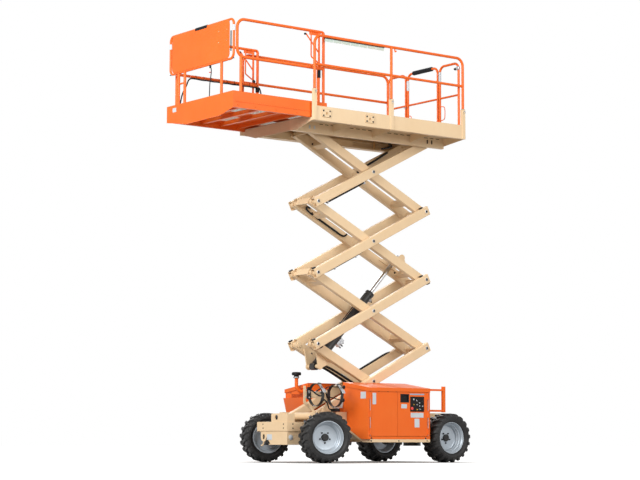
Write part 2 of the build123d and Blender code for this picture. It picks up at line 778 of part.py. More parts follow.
housing_parts = []
door_parts = []
for name, side, front in housings:
    wall = housing_wall
    outline = [
        (housing_inner_y, housing_notch_z), (housing_seat_y, housing_notch_z),
        (housing_seat_y, housing_slope_z + seat_gap), (housing_slope_y, housing_bottom_z + seat_gap),
        (housing_outer_y, housing_bottom_z + seat_gap), (housing_outer_y, housing_eave_z),
        (housing_inner_y, housing_ridge_z),
    ]
    hollow = [
        (housing_inner_y + wall, housing_notch_z + wall), (housing_seat_y + wall, housing_notch_z + wall),
        (housing_seat_y + wall, housing_slope_z + wall), (housing_slope_y + 1, housing_bottom_z + wall),
        (housing_outer_y - wall, housing_bottom_z + wall), (housing_outer_y - wall, housing_eave_z + 40),
        (housing_inner_y + wall, housing_ridge_z + 40),
    ]
    front_x = max(x for x, z in front)
    before = [(front_x + 50, front[0][1] - 1), (front[0][0], front[0][1] - 1)] + front
    before += [(front_x + 50, front[-1][1])]
    inside = [(x - wall, z - wall) for x, z in front]
    inside = [(housing_rear_x + wall, inside[0][1])] + inside + [(housing_rear_x + wall, inside[-1][1])]
    with BuildPart() as cavity:
        add(cross_plate(mirrored(hollow, side), housing_rear_x, front_x))
        add(side_plate(inside, 0, side * 2 * housing_outer_y), mode=Mode.INTERSECT)
    with BuildPart() as housing:
        add(cross_plate(mirrored(outline, side), housing_rear_x, front_x))
        add(side_plate(before, 0, side * 2 * housing_outer_y), mode=Mode.SUBTRACT)
        add(cavity.part, mode=Mode.SUBTRACT)
        low, high = side * (housing_outer_y - 2 * wall), side * (housing_outer_y + wall)
        x0, x1 = rear_hinge_x - hinge_radius - 3, front_hinge_x + hinge_radius + 3
        add(block(x0, x1, low, high, door_bottom_z - door_gap, door_top_z + door_gap), mode=Mode.SUBTRACT)
        for x, away in ((front_hinge_x, 1), (rear_hinge_x, -1)):
            for z in hinge_heights:
                for z0 in (z - hinge_length - 15, z + hinge_length):
                    add(hinge_barrel(x, side, z0, z0 + 15, hinge_radius))
                    low, high = side * (housing_outer_y - 1), side * (hinge_y + 2)
                    add(block(x, x + away * 28, low, high, z0, z0 + 15))
                add(hinge_barrel(x, side, z - hinge_length - 5, z + hinge_length + 5, hinge_pin_radius))
    housing.part.label = f"{name}_housing"

    lid_outer_y = housing_outer_y + lid_overhang
    slope = (housing_ridge_z - housing_eave_z) / (housing_outer_y - housing_inner_y)
    eave = housing_eave_z - lid_overhang * slope + seat_gap
    ridge = housing_ridge_z + (housing_inner_y - lid_inner_y) * slope + seat_gap
    lid = [
        (lid_inner_y, ridge + lid_thickness), (lid_outer_y, eave + lid_thickness),
        (lid_outer_y, eave - lid_skirt), (lid_inner_y, ridge - lid_skirt),
    ]
    lid_under = [
        (lid_inner_y - 10, ridge + 10 * slope), (lid_outer_y - lid_thickness, eave + lid_thickness * slope),
        (lid_outer_y - lid_thickness, eave - 2 * lid_skirt), (lid_inner_y - 10, ridge - 2 * lid_skirt),
    ]
    lid_front_x = front[-1][0] + lid_front
    with BuildPart() as cover:
        add(cross_plate(mirrored(lid, side), housing_rear_x, lid_front_x))
        under = cross_plate(mirrored(lid_under, side), housing_rear_x - 10, lid_front_x - lid_thickness)
        add(under, mode=Mode.SUBTRACT)
    cover.part.label = f"{name}_cover"
    housing_parts += [housing.part, cover.part]

    for ending, hinge_x, far_x in doors:
        toward = 1 if far_x > hinge_x else -1
        near_x = hinge_x + toward * leaf_gap
        with BuildPart() as door:
            low, high = side * (leaf_y - door_thickness), side * leaf_y
            add(block(near_x, far_x, low, high, door_bottom_z, door_top_z))
            for z in hinge_heights:
                z0, z1 = z - hinge_length + 0.5, z + hinge_length - 0.5
                add(hinge_barrel(hinge_x, side, z0, z1, hinge_radius))
                add(block(near_x + toward * 2, hinge_x, side * (leaf_y - 6), side * leaf_y, z0, z1))
                add(hinge_barrel(hinge_x, side, z0, z1, hinge_pin_radius + pin_play), mode=Mode.SUBTRACT)
            if (name, ending) == ("left", "rear_door"):
                x0, x1, z0, z1 = window
                add(block(x0, x1, leaf_y - 2 * door_thickness, leaf_y + 1, z0, z1), mode=Mode.SUBTRACT)
                x0, x1, z0, z1 = controls
                add(block(x0, x1, leaf_y - controls_recess, leaf_y + 1, z0, z1), mode=Mode.SUBTRACT)
        door.part.label = f"{name}_{ending}"
        door_parts.append(door.part)

# Ground controls: a plate in the door's recess, its stop knob at the lower front corner and a
# grid of small switches.
with BuildPart() as ground_controls:
    x0, x1, z0, z1 = controls
    face_y = leaf_y + controls_proud
    gap = seat_gap
    add(block(x0 + gap, x1 - gap, leaf_y - controls_recess + gap, face_y, z0 + gap, z1 - gap))
    add(across(x1 - 18, z0 + 38, 9, face_y - 1, face_y + 14))
    add(across(x1 - 18, z0 + 38, 18, face_y + 10, face_y + 22))
    for column in range(3):
        for row in range(3):
            x, z = x1 - 75 - column * 55, z0 + 45 + row * 50
            add(across(x, z, 6, face_y - 1, face_y + 12))
ground_controls.part.label = "ground_controls"

# Engine, one plain block on the right housing's floor.
engine_x = (mid_x - 480, mid_x + 20)
engine_inner_y = 460
engine_outer_y = 740
engine_top_z = 700
with BuildPart() as engine_block:
    lift = housing_wall + 2 * seat_gap
    floor_slope = (housing_slope_z - housing_bottom_z) / (housing_slope_y - rail_outer_y)
    inner_floor_z = housing_bottom_z + (housing_slope_y - engine_inner_y) * floor_slope + lift + 2
    outline = [
        (engine_inner_y, inner_floor_z), (housing_slope_y + 2, housing_bottom_z + lift),
        (engine_outer_y, housing_bottom_z + lift), (engine_outer_y, engine_top_z),
        (engine_inner_y, engine_top_z),
    ]
    add(cross_plate(mirrored(outline, -1), *engine_x))
engine_block.part.label = "engine_block"

# Steps behind the left housing, over the rear wheel.
step_post_x = housing_rear_x - 315
with BuildPart() as rear_steps:
    add(block(step_post_x, step_post_x + 40, 740, 780, 2 * tyre_radius + 12, 1018))
    for z in (691, 969):
        add(block(step_post_x + 39, housing_rear_x - seat_gap, 745, 775, z - 13, z + 13))
rear_steps.part.label = "rear_steps"

# Gas-bottle cradle ahead of the left housing: two saddles on a cranked upright and a rail foot,
# and the two band straps that they hold.
hoop_radius = 145
hoop_band = 45
hoop_wall = 5
hoop_y = 500
# hoop = (distance behind the nose's front, height)
hoop_places = [(nose_front_x - 343, 881), (nose_front_x - 658, 874)]
upright_y = (345, 353)
cradle_foot_x = chassis_front_x - 35
cradle_foot_z = chassis_rail_z + seat_gap
with BuildPart() as tank_cradle:
    front_x, rear_x = (x for x, z in hoop_places)
    profile = [
        (cradle_foot_x - 25, cradle_foot_z), (cradle_foot_x + 30, cradle_foot_z), (front_x + 92, 775),
        (front_x + 92, 1000), (front_x + 55, 1000), (front_x + 55, 790),
    ]
    add(side_plate(profile, *upright_y))
    rear_foot = [
        (rear_x + 75, cradle_foot_z), (rear_x + 120, cradle_foot_z), (rear_x + 30, 790), (rear_x - 20, 790),
    ]
    add(side_plate(rear_foot, *upright_y))
    add(block(rear_x - 35, front_x + 60, *upright_y, 840, 930))
    add(block(rear_x - 20, rear_x + 30, *upright_y, 785, 850))
    for x, z in hoop_places:
        half = hoop_band / 2
        saddle = hoop_radius + hoop_wall + seat_gap
        add(block(x - half, x + half, upright_y[1] - 1, hoop_y - 60, z - 60, z + 60))
        add(rod((x - half - 1, hoop_y, z), (x + half + 1, hoop_y, z), saddle), mode=Mode.SUBTRACT)
tank_cradle.part.label = "tank_cradle"

with BuildPart() as tank_straps:
    for x, z in hoop_places:
        half = hoop_band / 2
        add(rod((x - half, hoop_y, z), (x + half, hoop_y, z), hoop_radius + hoop_wall))
        add(rod((x - half - 1, hoop_y, z), (x + half + 1, hoop_y, z), hoop_radius), mode=Mode.SUBTRACT)
tank_straps.part.label = "tank_straps"

# Engine air intake with its rain cap, ahead of the right housing.
intake_x = mid_x + 656
intake_y = -440
intake_radius = 24
intake_cap_z = 1172  # under the folded deck's outriggers
with BuildPart() as intake_pipe:
    elbow_z = 950
    wall_x = right_front[-1][0] + seat_gap
    route = [(wall_x, intake_y, elbow_z), (intake_x, intake_y, elbow_z), (intake_x, intake_y, intake_cap_z)]
    add(bent_tube(route, intake_radius, 85))
    add(upright(intake_x, intake_y, intake_cap_z - 39, intake_cap_z + 5, intake_radius + 10))
    with BuildSketch(Plane.XZ.offset(-intake_y)):
        with BuildLine():
            Polyline(
                (intake_x, intake_cap_z), (intake_x + 50, intake_cap_z), (intake_x + 61, intake_cap_z + 8),
                (intake_x + 61, intake_cap_z + 24), (intake_x + 40, intake_cap_z + 36),
                (intake_x, intake_cap_z + 40), close=True,
            )
        make_face()
    revolve(axis=Axis((intake_x, intake_y, 0), (0, 0, 1)))
intake_pipe.part.label = "intake_pipe"

# ---- Main deck --------------------------------------------------------------------------------
deck_middle_x = (deck_front_x + deck_rear_x) / 2
floor_half = 722
runway_outer_y = rail_y - socket_size / 2 - seat_gap
flange_inner_y = deck_half_width - channel_flange
web_inner_y = deck_half_width - channel_wall
over_flange_z = channel_bottom_z + channel_wall + seat_gap
socket_places = (deck_front_x - 20, deck_middle_x, deck_rear_x + 33)
outrigger_places = (deck_rear_x, deck_middle_x - 700, deck_middle_x - 35, pin_x - 185)
plate_thickness = 6
tie_flat = 12  # under the floor, over the ends of the folded arms
upper_pocket_z = top_pin_z + track_height / 2 + rail_flange

with BuildPart() as deck_frame:
    for side in (1, -1):
        pockets = [
            (track_rear_x, track_front_x, top_pin_z - track_height / 2, top_pin_z + track_height / 2),
            (deck_rear_x + 10, deck_front_x - 10, upper_pocket_z, floor_z - rail_flange),
        ]
        add(rolled_channel(deck_rear_x, deck_front_x, side, beam_bottom_z, floor_z, pockets))
        # pin of the last inner arms, with its collar
        low, high = side * (collar_y - collar_width), side * collar_y
        add(across(pin_x, top_pin_z, pin_radius, low, side * rail_inner_y))
        add(across(pin_x, top_pin_z, collar_radius, low, high))
        # outriggers and the runway that the roll-out deck's beams slide on
        outrigger = [
            (rail_outer_y - 1, beam_bottom_z + 34), (flange_inner_y - seat_gap, channel_bottom_z),
            (flange_inner_y - seat_gap, over_flange_z), (web_inner_y - seat_gap, over_flange_z),
            (web_inner_y - seat_gap, runway_z), (floor_half, runway_z), (floor_half, floor_z),
            (rail_outer_y - 1, floor_z),
        ]
        for x in outrigger_places:
            add(cross_plate(mirrored(outrigger, side), x, x + plate_thickness))
        runway = [
            (floor_half - plate_thickness, floor_z), (floor_half, floor_z), (floor_half, runway_z),
            (runway_outer_y, runway_z), (runway_outer_y, runway_z - plate_thickness),
            (floor_half - plate_thickness, runway_z - plate_thickness),
        ]
        add(cross_plate(mirrored(runway, side), deck_rear_x, deck_front_x))
    for x in outrigger_places:
        reach = rail_inner_y + 1
        add(block(x, x + 4 * tie_flat, -reach, reach, floor_z - tie_flat, floor_z))
    half_front = [
        (480, beam_bottom_z), (flange_inner_y - seat_gap, channel_bottom_z),
        (flange_inner_y - seat_gap, runway_z), (floor_half, runway_z), (floor_half, floor_z),
    ]
    front_plate = half_front + mirrored(reversed(half_front), -1)
    add(cross_plate(front_plate, deck_front_x - plate_thickness, deck_front_x))
deck_frame.part.label = "deck_frame"

with BuildPart() as deck_floor:
    add(block(deck_rear_x, deck_front_x, -floor_half, floor_half, floor_z + seat_gap, floor_top_z))
deck_floor.part.label = "deck_floor"

# Side channels, hung on the outriggers, with the sockets that the rails plug into.
tie_hole_radius = 16
tie_web_radius = 24
tie_plate_length = 148
tie_plate_height = 100
tie_plate_thickness = 8
tie_plate_z = floor_z + 39
tie_plate_places = (deck_front_x - 205, deck_front_x - 927)
socket_depth = 120
with BuildPart() as deck_sides:
    for side in (1, -1):
        edge = side * deck_half_width
        add(block(deck_rear_x, deck_front_x, side * web_inner_y, edge, channel_bottom_z, channel_top_z))
        for z0 in (channel_bottom_z, channel_top_z - channel_wall):
            add(block(deck_rear_x, deck_front_x, side * flange_inner_y, edge, z0, z0 + channel_wall))
        for x in socket_places:
            half = socket_size / 2
            low, high = side * (rail_y - half), side * (rail_y + half)
            add(block(x - half, x + half, low, high, channel_bottom_z, socket_top_z))
            z0, z1 = socket_top_z - socket_depth, socket_top_z + 1
            add(upright(x, side * rail_y, z0, z1, rail_tube + seat_gap), mode=Mode.SUBTRACT)
        for x in tie_plate_places:
            low, high = side * (web_inner_y - 1), side * (deck_half_width + 1)
            add(across(x, tie_plate_z, tie_web_radius, low, high), mode=Mode.SUBTRACT)
deck_sides.part.label = "deck_sides"

# Tie-down plates: each has one hole for a shackle.
with BuildPart() as tie_plates:
    for side in (1, -1):
        low = side * (deck_half_width + seat_gap)
        high = side * (deck_half_width + seat_gap + tie_plate_thickness)
        for x in tie_plate_places:
            x0, x1 = x - tie_plate_length / 2, x + tie_plate_length / 2
            z0, z1 = tie_plate_z - tie_plate_height / 2, tie_plate_z + tie_plate_height / 2
            add(block(x0, x1, low, high, z0, z1))
            add(across(x, tie_plate_z, tie_hole_radius, low - side, high + side), mode=Mode.SUBTRACT)
tie_plates.part.label = "tie_plates"

# Side rails: a bent top rail on two end posts, a middle rail and a middle post.
side_rail_parts = []
for name, side in (("left", 1), ("right", -1)):
    y = side * rail_y
    front_x, middle_x, rear_x = socket_places
    foot_z = socket_top_z - socket_depth + 2
    with BuildPart() as side_rail:
        loop = [(front_x, y, foot_z), (front_x, y, rail_top_z), (rear_x, y, rail_top_z), (rear_x, y, foot_z)]
        add(bent_tube(loop, rail_tube, 110))
        add(rod((front_x, y, rail_mid_z), (rear_x, y, rail_mid_z), rail_tube - 1))
        add(rod((middle_x, y, foot_z), (middle_x, y, rail_top_z), rail_tube))
    side_rail.part.label = f"{name}_rail"
    side_rail_parts.append(side_rail.part)

# Rear rail: one loop each side of the entry, and the gate on the left one's hinge rings.
rear_rail_x = deck_rear_x + 63
rear_rail_tube = 17
rear_rail_y = 765
rear_bar_radius = 14
rear_top_z = floor_top_z + 1005
rear_bar_z = floor_top_z + 555
entry_post_y = 370
gate_y = 325
gate_foot_z = floor_top_z + 145
gate_hinge_heights = (floor_top_z + 225, floor_top_z + 805)
hinge_ring_radius = 25
hinge_ring_half = 15
rear_parts = []
for name, side in (("left", 1), ("right", -1)):
    with BuildPart() as rear_rail:
        x = rear_rail_x
        loop = [
            (x, side * rear_rail_y, runway_z + seat_gap), (x, side * rear_rail_y, rear_top_z),
            (x, side * entry_post_y, rear_top_z), (x, side * entry_post_y, floor_top_z + seat_gap),
        ]
        add(bent_tube(loop, rear_rail_tube, 90))
        add(rod((x, side * rear_rail_y, rear_bar_z), (x, side * entry_post_y, rear_bar_z), rear_bar_radius))
        if side > 0:
            for z in gate_hinge_heights:
                z0, z1 = z - hinge_ring_half, z + hinge_ring_half
                add(upright(x, gate_y, z0, z1, hinge_ring_radius))
                add(block(x - 6, x + 6, gate_y, entry_post_y, z0, z1))
                add(upright(x, gate_y, z0 - 5, z1 + 5, rear_rail_tube + pin_play), mode=Mode.SUBTRACT)
    rear_rail.part.label = f"rear_rail_{name}"
    rear_parts.append(rear_rail.part)

with BuildPart() as gate:
    loop = [
        (rear_rail_x, gate_y, gate_foot_z), (rear_rail_x, gate_y, rear_top_z),
        (rear_rail_x, -gate_y, rear_top_z), (rear_rail_x, -gate_y, gate_foot_z),
    ]
    add(bent_tube(loop, rear_rail_tube, 90))
    add(rod((rear_rail_x, gate_y, rear_bar_z), (rear_rail_x, -gate_y, rear_bar_z), rear_bar_radius))
gate.part.label = "gate"

# ---- Roll-out deck ----------------------------------------------------------------------------
beam_outer_y = extension_half_width - 5
beam_inner_y = extension_half_width - 35
beam_tail = 150  # the beams run on behind the floor
rib_width = 40
rib_pitch = 300
rib_count = 5
rib_bottom_z = floor_top_z + 5
fascia_thickness = 6
with BuildPart() as extension_frame:
    low_z = runway_z + seat_gap
    for side in (1, -1):
        beam_x = extension_rear_x - beam_tail
        low, high = side * beam_inner_y, side * extension_half_width
        add(block(beam_x, extension_front_x, low, side * beam_outer_y, low_z, extension_floor_z))
        toe = block(extension_rear_x, extension_front_x, side * beam_outer_y, high, low_z, extension_toe_z)
        add(toe)
    for n in range(rib_count):
        x = extension_rear_x + 25 + n * rib_pitch
        reach = beam_inner_y + 1
        add(block(x, x + rib_width, -reach, reach, rib_bottom_z, extension_floor_z))
    fascia = [
        (-extension_half_width, floor_z - 27), (-300, floor_z - 102), (470, floor_z - 93),
        (extension_half_width, floor_z - 27), (extension_half_width, extension_toe_z),
        (-extension_half_width, extension_toe_z),
    ]
    add(cross_plate(fascia, extension_front_x - fascia_thickness, extension_front_x))
extension_frame.part.label = "extension_frame"

with BuildPart() as extension_floor:
    floor_reach = beam_outer_y - seat_gap
    floor_front_x = extension_front_x - fascia_thickness - seat_gap
    z0 = extension_floor_z + seat_gap
    add(block(extension_rear_x, floor_front_x, -floor_reach, floor_reach, z0, extension_top_z))
extension_floor.part.label = "extension_floor"

# Its side rails, each a loop on a rear post and two lighter ones, braced at the rear.
extension_foot_z = extension_top_z + seat_gap
extension_rail_parts = []
for name, side in (("left", 1), ("right", -1)):
    y = side * extension_rail_y
    rear_x = extension_rear_x + 41
    inner_x = rear_x + 73
    front_x = extension_front_x - 74
    post_x = front_x - 60
    rail_z, low_z = extension_rail_z, extension_low_z
    with BuildPart() as extension_rail:
        loop = [
            (rear_x, y, extension_foot_z), (rear_x, y, rail_z), (front_x, y, rail_z), (front_x, y, low_z),
            (front_x - 300, y, low_z),
        ]
        add(bent_tube(loop, rail_tube, (30, 110, 110)))
        add(rod((rear_x, y, low_z), (front_x - 299, y, low_z), rail_tube))
        add(rod((inner_x, y, extension_foot_z), (inner_x, y, rail_z), 14))
        add(rod((post_x, y, extension_foot_z), (post_x, y, low_z), rail_tube))
        gusset = [
            (rear_x, extension_foot_z), (inner_x, extension_foot_z), (inner_x, extension_foot_z + 70),
            (rear_x, extension_foot_z + 120),
        ]
        add(side_plate(gusset, y - 4, y + 4))
        add(rod((inner_x + 214, y, rail_z - 48), (inner_x, y, low_z + 204), 9))
        brace = [
            (inner_x + 129, y, rail_z - 5), (inner_x + 129, y, low_z + 145), (inner_x, y, low_z + 69),
        ]
        add(bent_tube(brace, 9, 30))
    extension_rail.part.label = f"extension_rail_{name}"
    extension_rail_parts.append(extension_rail.part)

# Guard across the front: a closed loop, the panel on it and the posts that it stands on.
guard_x = extension_front_x - 29
guard_half = 735
guard_tube = 16
guard_low_z = extension_low_z - 25
guard_high_z = extension_low_z + 485
panel_thickness = 4
guard_posts = (-533, -387, 466)
with BuildPart() as front_guard:
    for start, end in ((1, -1), (-1, 1)):
        half_loop = [
            (guard_x, 0, guard_high_z if start > 0 else guard_low_z),
            (guard_x, start * guard_half, guard_high_z if start > 0 else guard_low_z),
            (guard_x, start * guard_half, guard_low_z if start > 0 else guard_high_z),
            (guard_x, 0, guard_low_z if start > 0 else guard_high_z),
        ]
        add(bent_tube(half_loop, guard_tube, 70))
    with BuildSketch(Plane(origin=(guard_x + guard_tube - 2, 0, 0), x_dir=(0, 1, 0), z_dir=(1, 0, 0))):
        with Locations((-5, (guard_low_z + guard_high_z) / 2 + 5)):
            RectangleRounded(2 * guard_half - 130, guard_high_z - guard_low_z - 10, 60)
    extrude(amount=panel_thickness)
    for y in guard_posts:
        add(rod((guard_x, y, extension_foot_z), (guard_x, y, guard_low_z), rail_tube))
    brace_z = guard_low_z - 150
    add(rod((guard_x, guard_posts[0], brace_z), (guard_x, guard_posts[1], brace_z), 12))
front_guard.part.label = "front_guard"

# ---- Write every piece ------------------------------------------------------------------------
pieces = outer_parts + inner_parts + wheel_parts + knuckle_parts + housing_parts + door_parts
pieces += side_rail_parts + rear_parts + extension_rail_parts
pieces += [
    made.part
    for made in (
        lift_barrel, lift_rod, chassis_frame, nose_plate, front_axle, rear_axle, ground_controls,
        engine_block, rear_steps, tank_cradle, tank_straps, intake_pipe, deck_frame, deck_floor,
        deck_sides, tie_plates, gate, extension_frame, extension_floor, front_guard,
    )
]
os.makedirs("parts", exist_ok=True)
for piece in pieces:
    export_step(piece, f"parts/{piece.label}.step")
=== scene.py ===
import json
from math import cos, pi, radians, sin

import bmesh
import bpy
from mathutils import Matrix, Vector


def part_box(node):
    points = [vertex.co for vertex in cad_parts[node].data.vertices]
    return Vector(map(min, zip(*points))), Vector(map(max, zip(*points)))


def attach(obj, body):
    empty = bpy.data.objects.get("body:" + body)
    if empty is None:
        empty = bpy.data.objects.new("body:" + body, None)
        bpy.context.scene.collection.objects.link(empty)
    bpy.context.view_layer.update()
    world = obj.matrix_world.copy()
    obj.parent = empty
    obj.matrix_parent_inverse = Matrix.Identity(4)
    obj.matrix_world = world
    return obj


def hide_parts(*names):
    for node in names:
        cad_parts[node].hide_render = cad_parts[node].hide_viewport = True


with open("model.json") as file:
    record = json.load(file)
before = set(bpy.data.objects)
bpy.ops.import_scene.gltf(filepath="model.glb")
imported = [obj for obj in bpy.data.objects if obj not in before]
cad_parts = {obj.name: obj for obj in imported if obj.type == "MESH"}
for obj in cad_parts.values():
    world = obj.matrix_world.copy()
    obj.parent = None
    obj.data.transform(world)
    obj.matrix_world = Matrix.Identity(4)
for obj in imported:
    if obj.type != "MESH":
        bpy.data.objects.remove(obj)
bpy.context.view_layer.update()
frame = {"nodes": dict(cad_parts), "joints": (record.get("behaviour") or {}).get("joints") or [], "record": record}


# ---- Studio floor, backdrop, lights and camera --------------------------------------------------
# The machine stands on a pale painted floor under one large softbox and two weaker ones round it,
# with an even white surround. The camera is a long lens held just above the floor.
def feed(net, made, inputs):
    """Fills a shader node's inputs, or links them to other nodes or their outputs."""
    for key, value in inputs.items():
        if isinstance(value, bpy.types.Node):
            value = next(socket for socket in value.outputs if socket.enabled)
        if isinstance(value, bpy.types.NodeSocket):
            net.links.new(value, made.inputs[key])
        else:
            made.inputs[key].default_value = value


def node(net, kind, inputs=None, **settings):
    """One shader node, its settings made and its inputs fed."""
    made = net.nodes.new("ShaderNode" + kind)
    for key, value in settings.items():
        setattr(made, key, value)
    feed(net, made, inputs or {})
    return made


def seen_by(net, *kinds):
    """1 for what these kinds of ray look at, 0 for the light that a dull surface gets."""
    rays = node(net, "LightPath").outputs
    seen = rays[f"Is {kinds[0]} Ray"]
    for kind in kinds[1:]:
        seen = node(net, "Math", {0: seen, 1: rays[f"Is {kind} Ray"]}, operation="MAXIMUM")
    return seen


def new_finish(name):
    """An empty material and its nodes."""
    made = bpy.data.materials.new(name)
    made.use_nodes = True
    return made, made.node_tree


studio = bpy.context.scene
studio.view_settings.view_transform = "Standard"
surround = bpy.data.worlds.new("surround")
surround.use_nodes = True
studio.world = surround
net = surround.node_tree
net.nodes.clear()
sky_light = node(net, "Background", {"Color": (1.0, 0.93, 0.84, 1), "Strength": 0.36})
white_wall = node(net, "Background", {"Color": (1, 1, 1, 1)})
eye = seen_by(net, "Camera", "Transmission", "Glossy")
choice = node(net, "MixShader", {"Fac": eye, 1: sky_light, 2: white_wall})
node(net, "OutputWorld", {"Surface": choice})

bpy.ops.mesh.primitive_grid_add(x_subdivisions=4, y_subdivisions=4, size=90)
floor = bpy.context.object
floor.name = "studio_floor"
floor_paint, net = new_finish("floor_paint")
net.nodes.clear()
mottle = node(net, "TexNoise", {"Scale": 0.4})
tone = node(net, "MapRange", {"Value": mottle, "To Min": 0.40, "To Max": 0.43})
matt = node(net, "BsdfDiffuse", {"Color": tone})
# the white that the eye sees, with a painted contact shadow: the glow is cut by occlusion close round the wheels
amount = node(net, "Math", {0: seen_by(net, "Camera", "Glossy"), 1: 0.95}, operation="MULTIPLY")
contact = node(net, "AmbientOcclusion", {"Distance": 1.1}).outputs["AO"]
painted_contact_shadow = node(net, "Math", {0: contact, 1: 2.2}, operation="POWER")
glow = node(net, "Math", {0: amount, 1: painted_contact_shadow}, operation="MULTIPLY")
both = node(net, "AddShader", {0: matt, 1: node(net, "Emission", {"Strength": glow})})
node(net, "OutputMaterial", {"Surface": both})
floor.data.materials.append(floor_paint)

# softbox = (name, where it hangs, size, watts), all turned to the middle of the stack
stack_middle = Vector((0, 0, 3))
for name, place, size, watts in (
    ("main_softbox", (12.5, 5.0, 8.5), 7.0, 2150),
    ("side_softbox", (-2.0, 14.0, 7.0), 6.0, 980),
    ("far_softbox", (-7.0, -13.0, 7.5), 7.0, 900),
):
    lamp = bpy.data.lights.new(name, "AREA")
    lamp.size = size
    lamp.energy = watts
    softbox = bpy.data.objects.new(name, lamp)
    softbox.location = place
    softbox.rotation_euler = (stack_middle - Vector(place)).to_track_quat("-Z", "Y").to_euler()
    studio.collection.objects.link(softbox)

lens = bpy.data.cameras.new("long_lens")
lens.sensor_width = 36
lens.lens = 105.5
lens.clip_end = 200
camera = bpy.data.objects.new("camera", lens)
heading = Matrix.Rotation(radians(142.727), 4, "Z")
tilt = Matrix.Rotation(radians(96.059), 4, "X")
roll = Matrix.Rotation(radians(0.149), 4, "Z")
camera.matrix_world = Matrix.Translation((15.1814, 19.9676, 0.309)) @ heading @ tilt @ roll
studio.collection.objects.link(camera)
studio.camera = camera


# ---- Cream-painted steelwork --------------------------------------------------------------------
# Chassis, scissor arms, deck frame and bottle cradle: welded tube and folded plate, sprayed in one
# coat of cream enamel. Edges rub thin, dust settles on top and rain leaves faint streaks.
def noise(net, place, scale, detail, roughness=0.5):
    """Cloudy noise at a place in the piece."""
    return node(net, "TexNoise", {"Vector": place, "Scale": scale, "Detail": detail, "Roughness": roughness})


def ramp(net, value, start, end, low=0.0, high=1.0):
    """A value taken from start..end to low..high, and held there."""
    ends = {"Value": value, "From Min": start, "From Max": end, "To Min": low, "To Max": high}
    return node(net, "MapRange", ends)


def mixed(net, share, first, second):
    """Two colours mixed by a share of the second."""
    return node(net, "Mix", {"Factor": share, "A": first, "B": second}, data_type="RGBA")


def enamel(
    name, colour, faded, grime, bare, roughness, coat=0.0, wear=0.2, dust=0.1, runs=0.1, sheen=0.3, metal=0.0
):
    """Sprayed paint: uneven tone, faint rain streaks, dust on top, rubbed edges and orange peel."""
    made, net = new_finish(name)
    place = node(net, "TexCoord").outputs["Object"]
    facing = node(net, "NewGeometry").outputs["Normal"]
    up = node(net, "SeparateXYZ", {"Vector": facing}).outputs["Z"]
    rounded = node(net, "Bevel", {"Radius": 0.004}, samples=4)
    edge = ramp(net, node(net, "VectorMath", {0: rounded, 1: facing}, operation="DOT_PRODUCT"), 0.97, 0.86)
    tone = mixed(net, ramp(net, noise(net, place, 1.7, 4.0, 0.6), 0.35, 0.7), (*colour, 1), (*faded, 1))
    stretched = node(net, "Mapping", {"Vector": place, "Scale": (14.0, 14.0, 1.6)})
    washed = ramp(net, noise(net, stretched, 1.3, 7.0, 0.7), 0.5, 0.85, high=runs)
    streaked = mixed(net, washed, tone, (*grime, 1))
    cloud = noise(net, place, 6.0, 5.0)
    settled = node(net, "Math", {0: ramp(net, up, 0.55, 0.98, high=dust), 1: cloud}, operation="MULTIPLY")
    dusty = mixed(net, settled, streaked, (0.5, 0.45, 0.38, 1))
    chips = ramp(net, noise(net, place, 45.0, 8.0, 0.75), 0.5, 0.62, high=wear)
    rubbed = node(net, "Math", {0: edge, 1: chips}, operation="MULTIPLY")
    peel = {"Height": noise(net, place, 260.0, 2.0), "Strength": 0.08, "Distance": 0.002, "Normal": rounded}
    feed(net, net.nodes["Principled BSDF"], {
        "Base Color": mixed(net, rubbed, dusty, (*bare, 1)),
        "Roughness": ramp(net, cloud, 0.0, 1.0, roughness - 0.08, roughness + 0.16),
        "Normal": node(net, "Bump", peel),
        "Specular IOR Level": sheen, "Coat Weight": coat, "Coat Roughness": 0.15, "Metallic": metal,
    })
    return made


def coat_all(finish, slot_name):
    """Puts a finish on every piece whose record names this slot."""
    for part in frame["record"]["subparts"]:
        if part["material_slot"] == slot_name:
            for place in frame["nodes"][part["node"]].material_slots:
                place.material = finish


cream_enamel = enamel(
    "cream_enamel", (0.76, 0.56, 0.345), faded=(0.79, 0.60, 0.385), grime=(0.34, 0.25, 0.15),
    bare=(0.88, 0.76, 0.58), roughness=0.42, wear=0.4, dust=0.12, sheen=0.22,
)
coat_all(cream_enamel, "cream_paint")

# ---- Orange-painted bodywork --------------------------------------------------------------------
# Housings, lids, doors, guard rails and the roll-out deck: pressed sheet and bent tube, sprayed in
# glossy orange over primer.
orange_enamel = enamel(
    "orange_enamel", (0.82, 0.135, 0.014), faded=(0.84, 0.155, 0.019), grime=(0.30, 0.07, 0.02),
    bare=(0.9, 0.36, 0.17), roughness=0.34, coat=0.04, wear=0.4, dust=0.08, runs=0.06, sheen=0.22,
)
coat_all(orange_enamel, "orange_paint")

# ---- Black running gear -------------------------------------------------------------------------
# Axles, steering knuckles and the lift cylinder's barrel: forged and machined steel in black
# chassis paint, dusty from the road.
black_enamel = enamel(
    "black_enamel", (0.018, 0.018, 0.018), faded=(0.03, 0.029, 0.028), grime=(0.07, 0.055, 0.04),
    bare=(0.16, 0.155, 0.15), roughness=0.35, wear=0.3, dust=0.15,
)
coat_all(black_enamel, "black_paint")

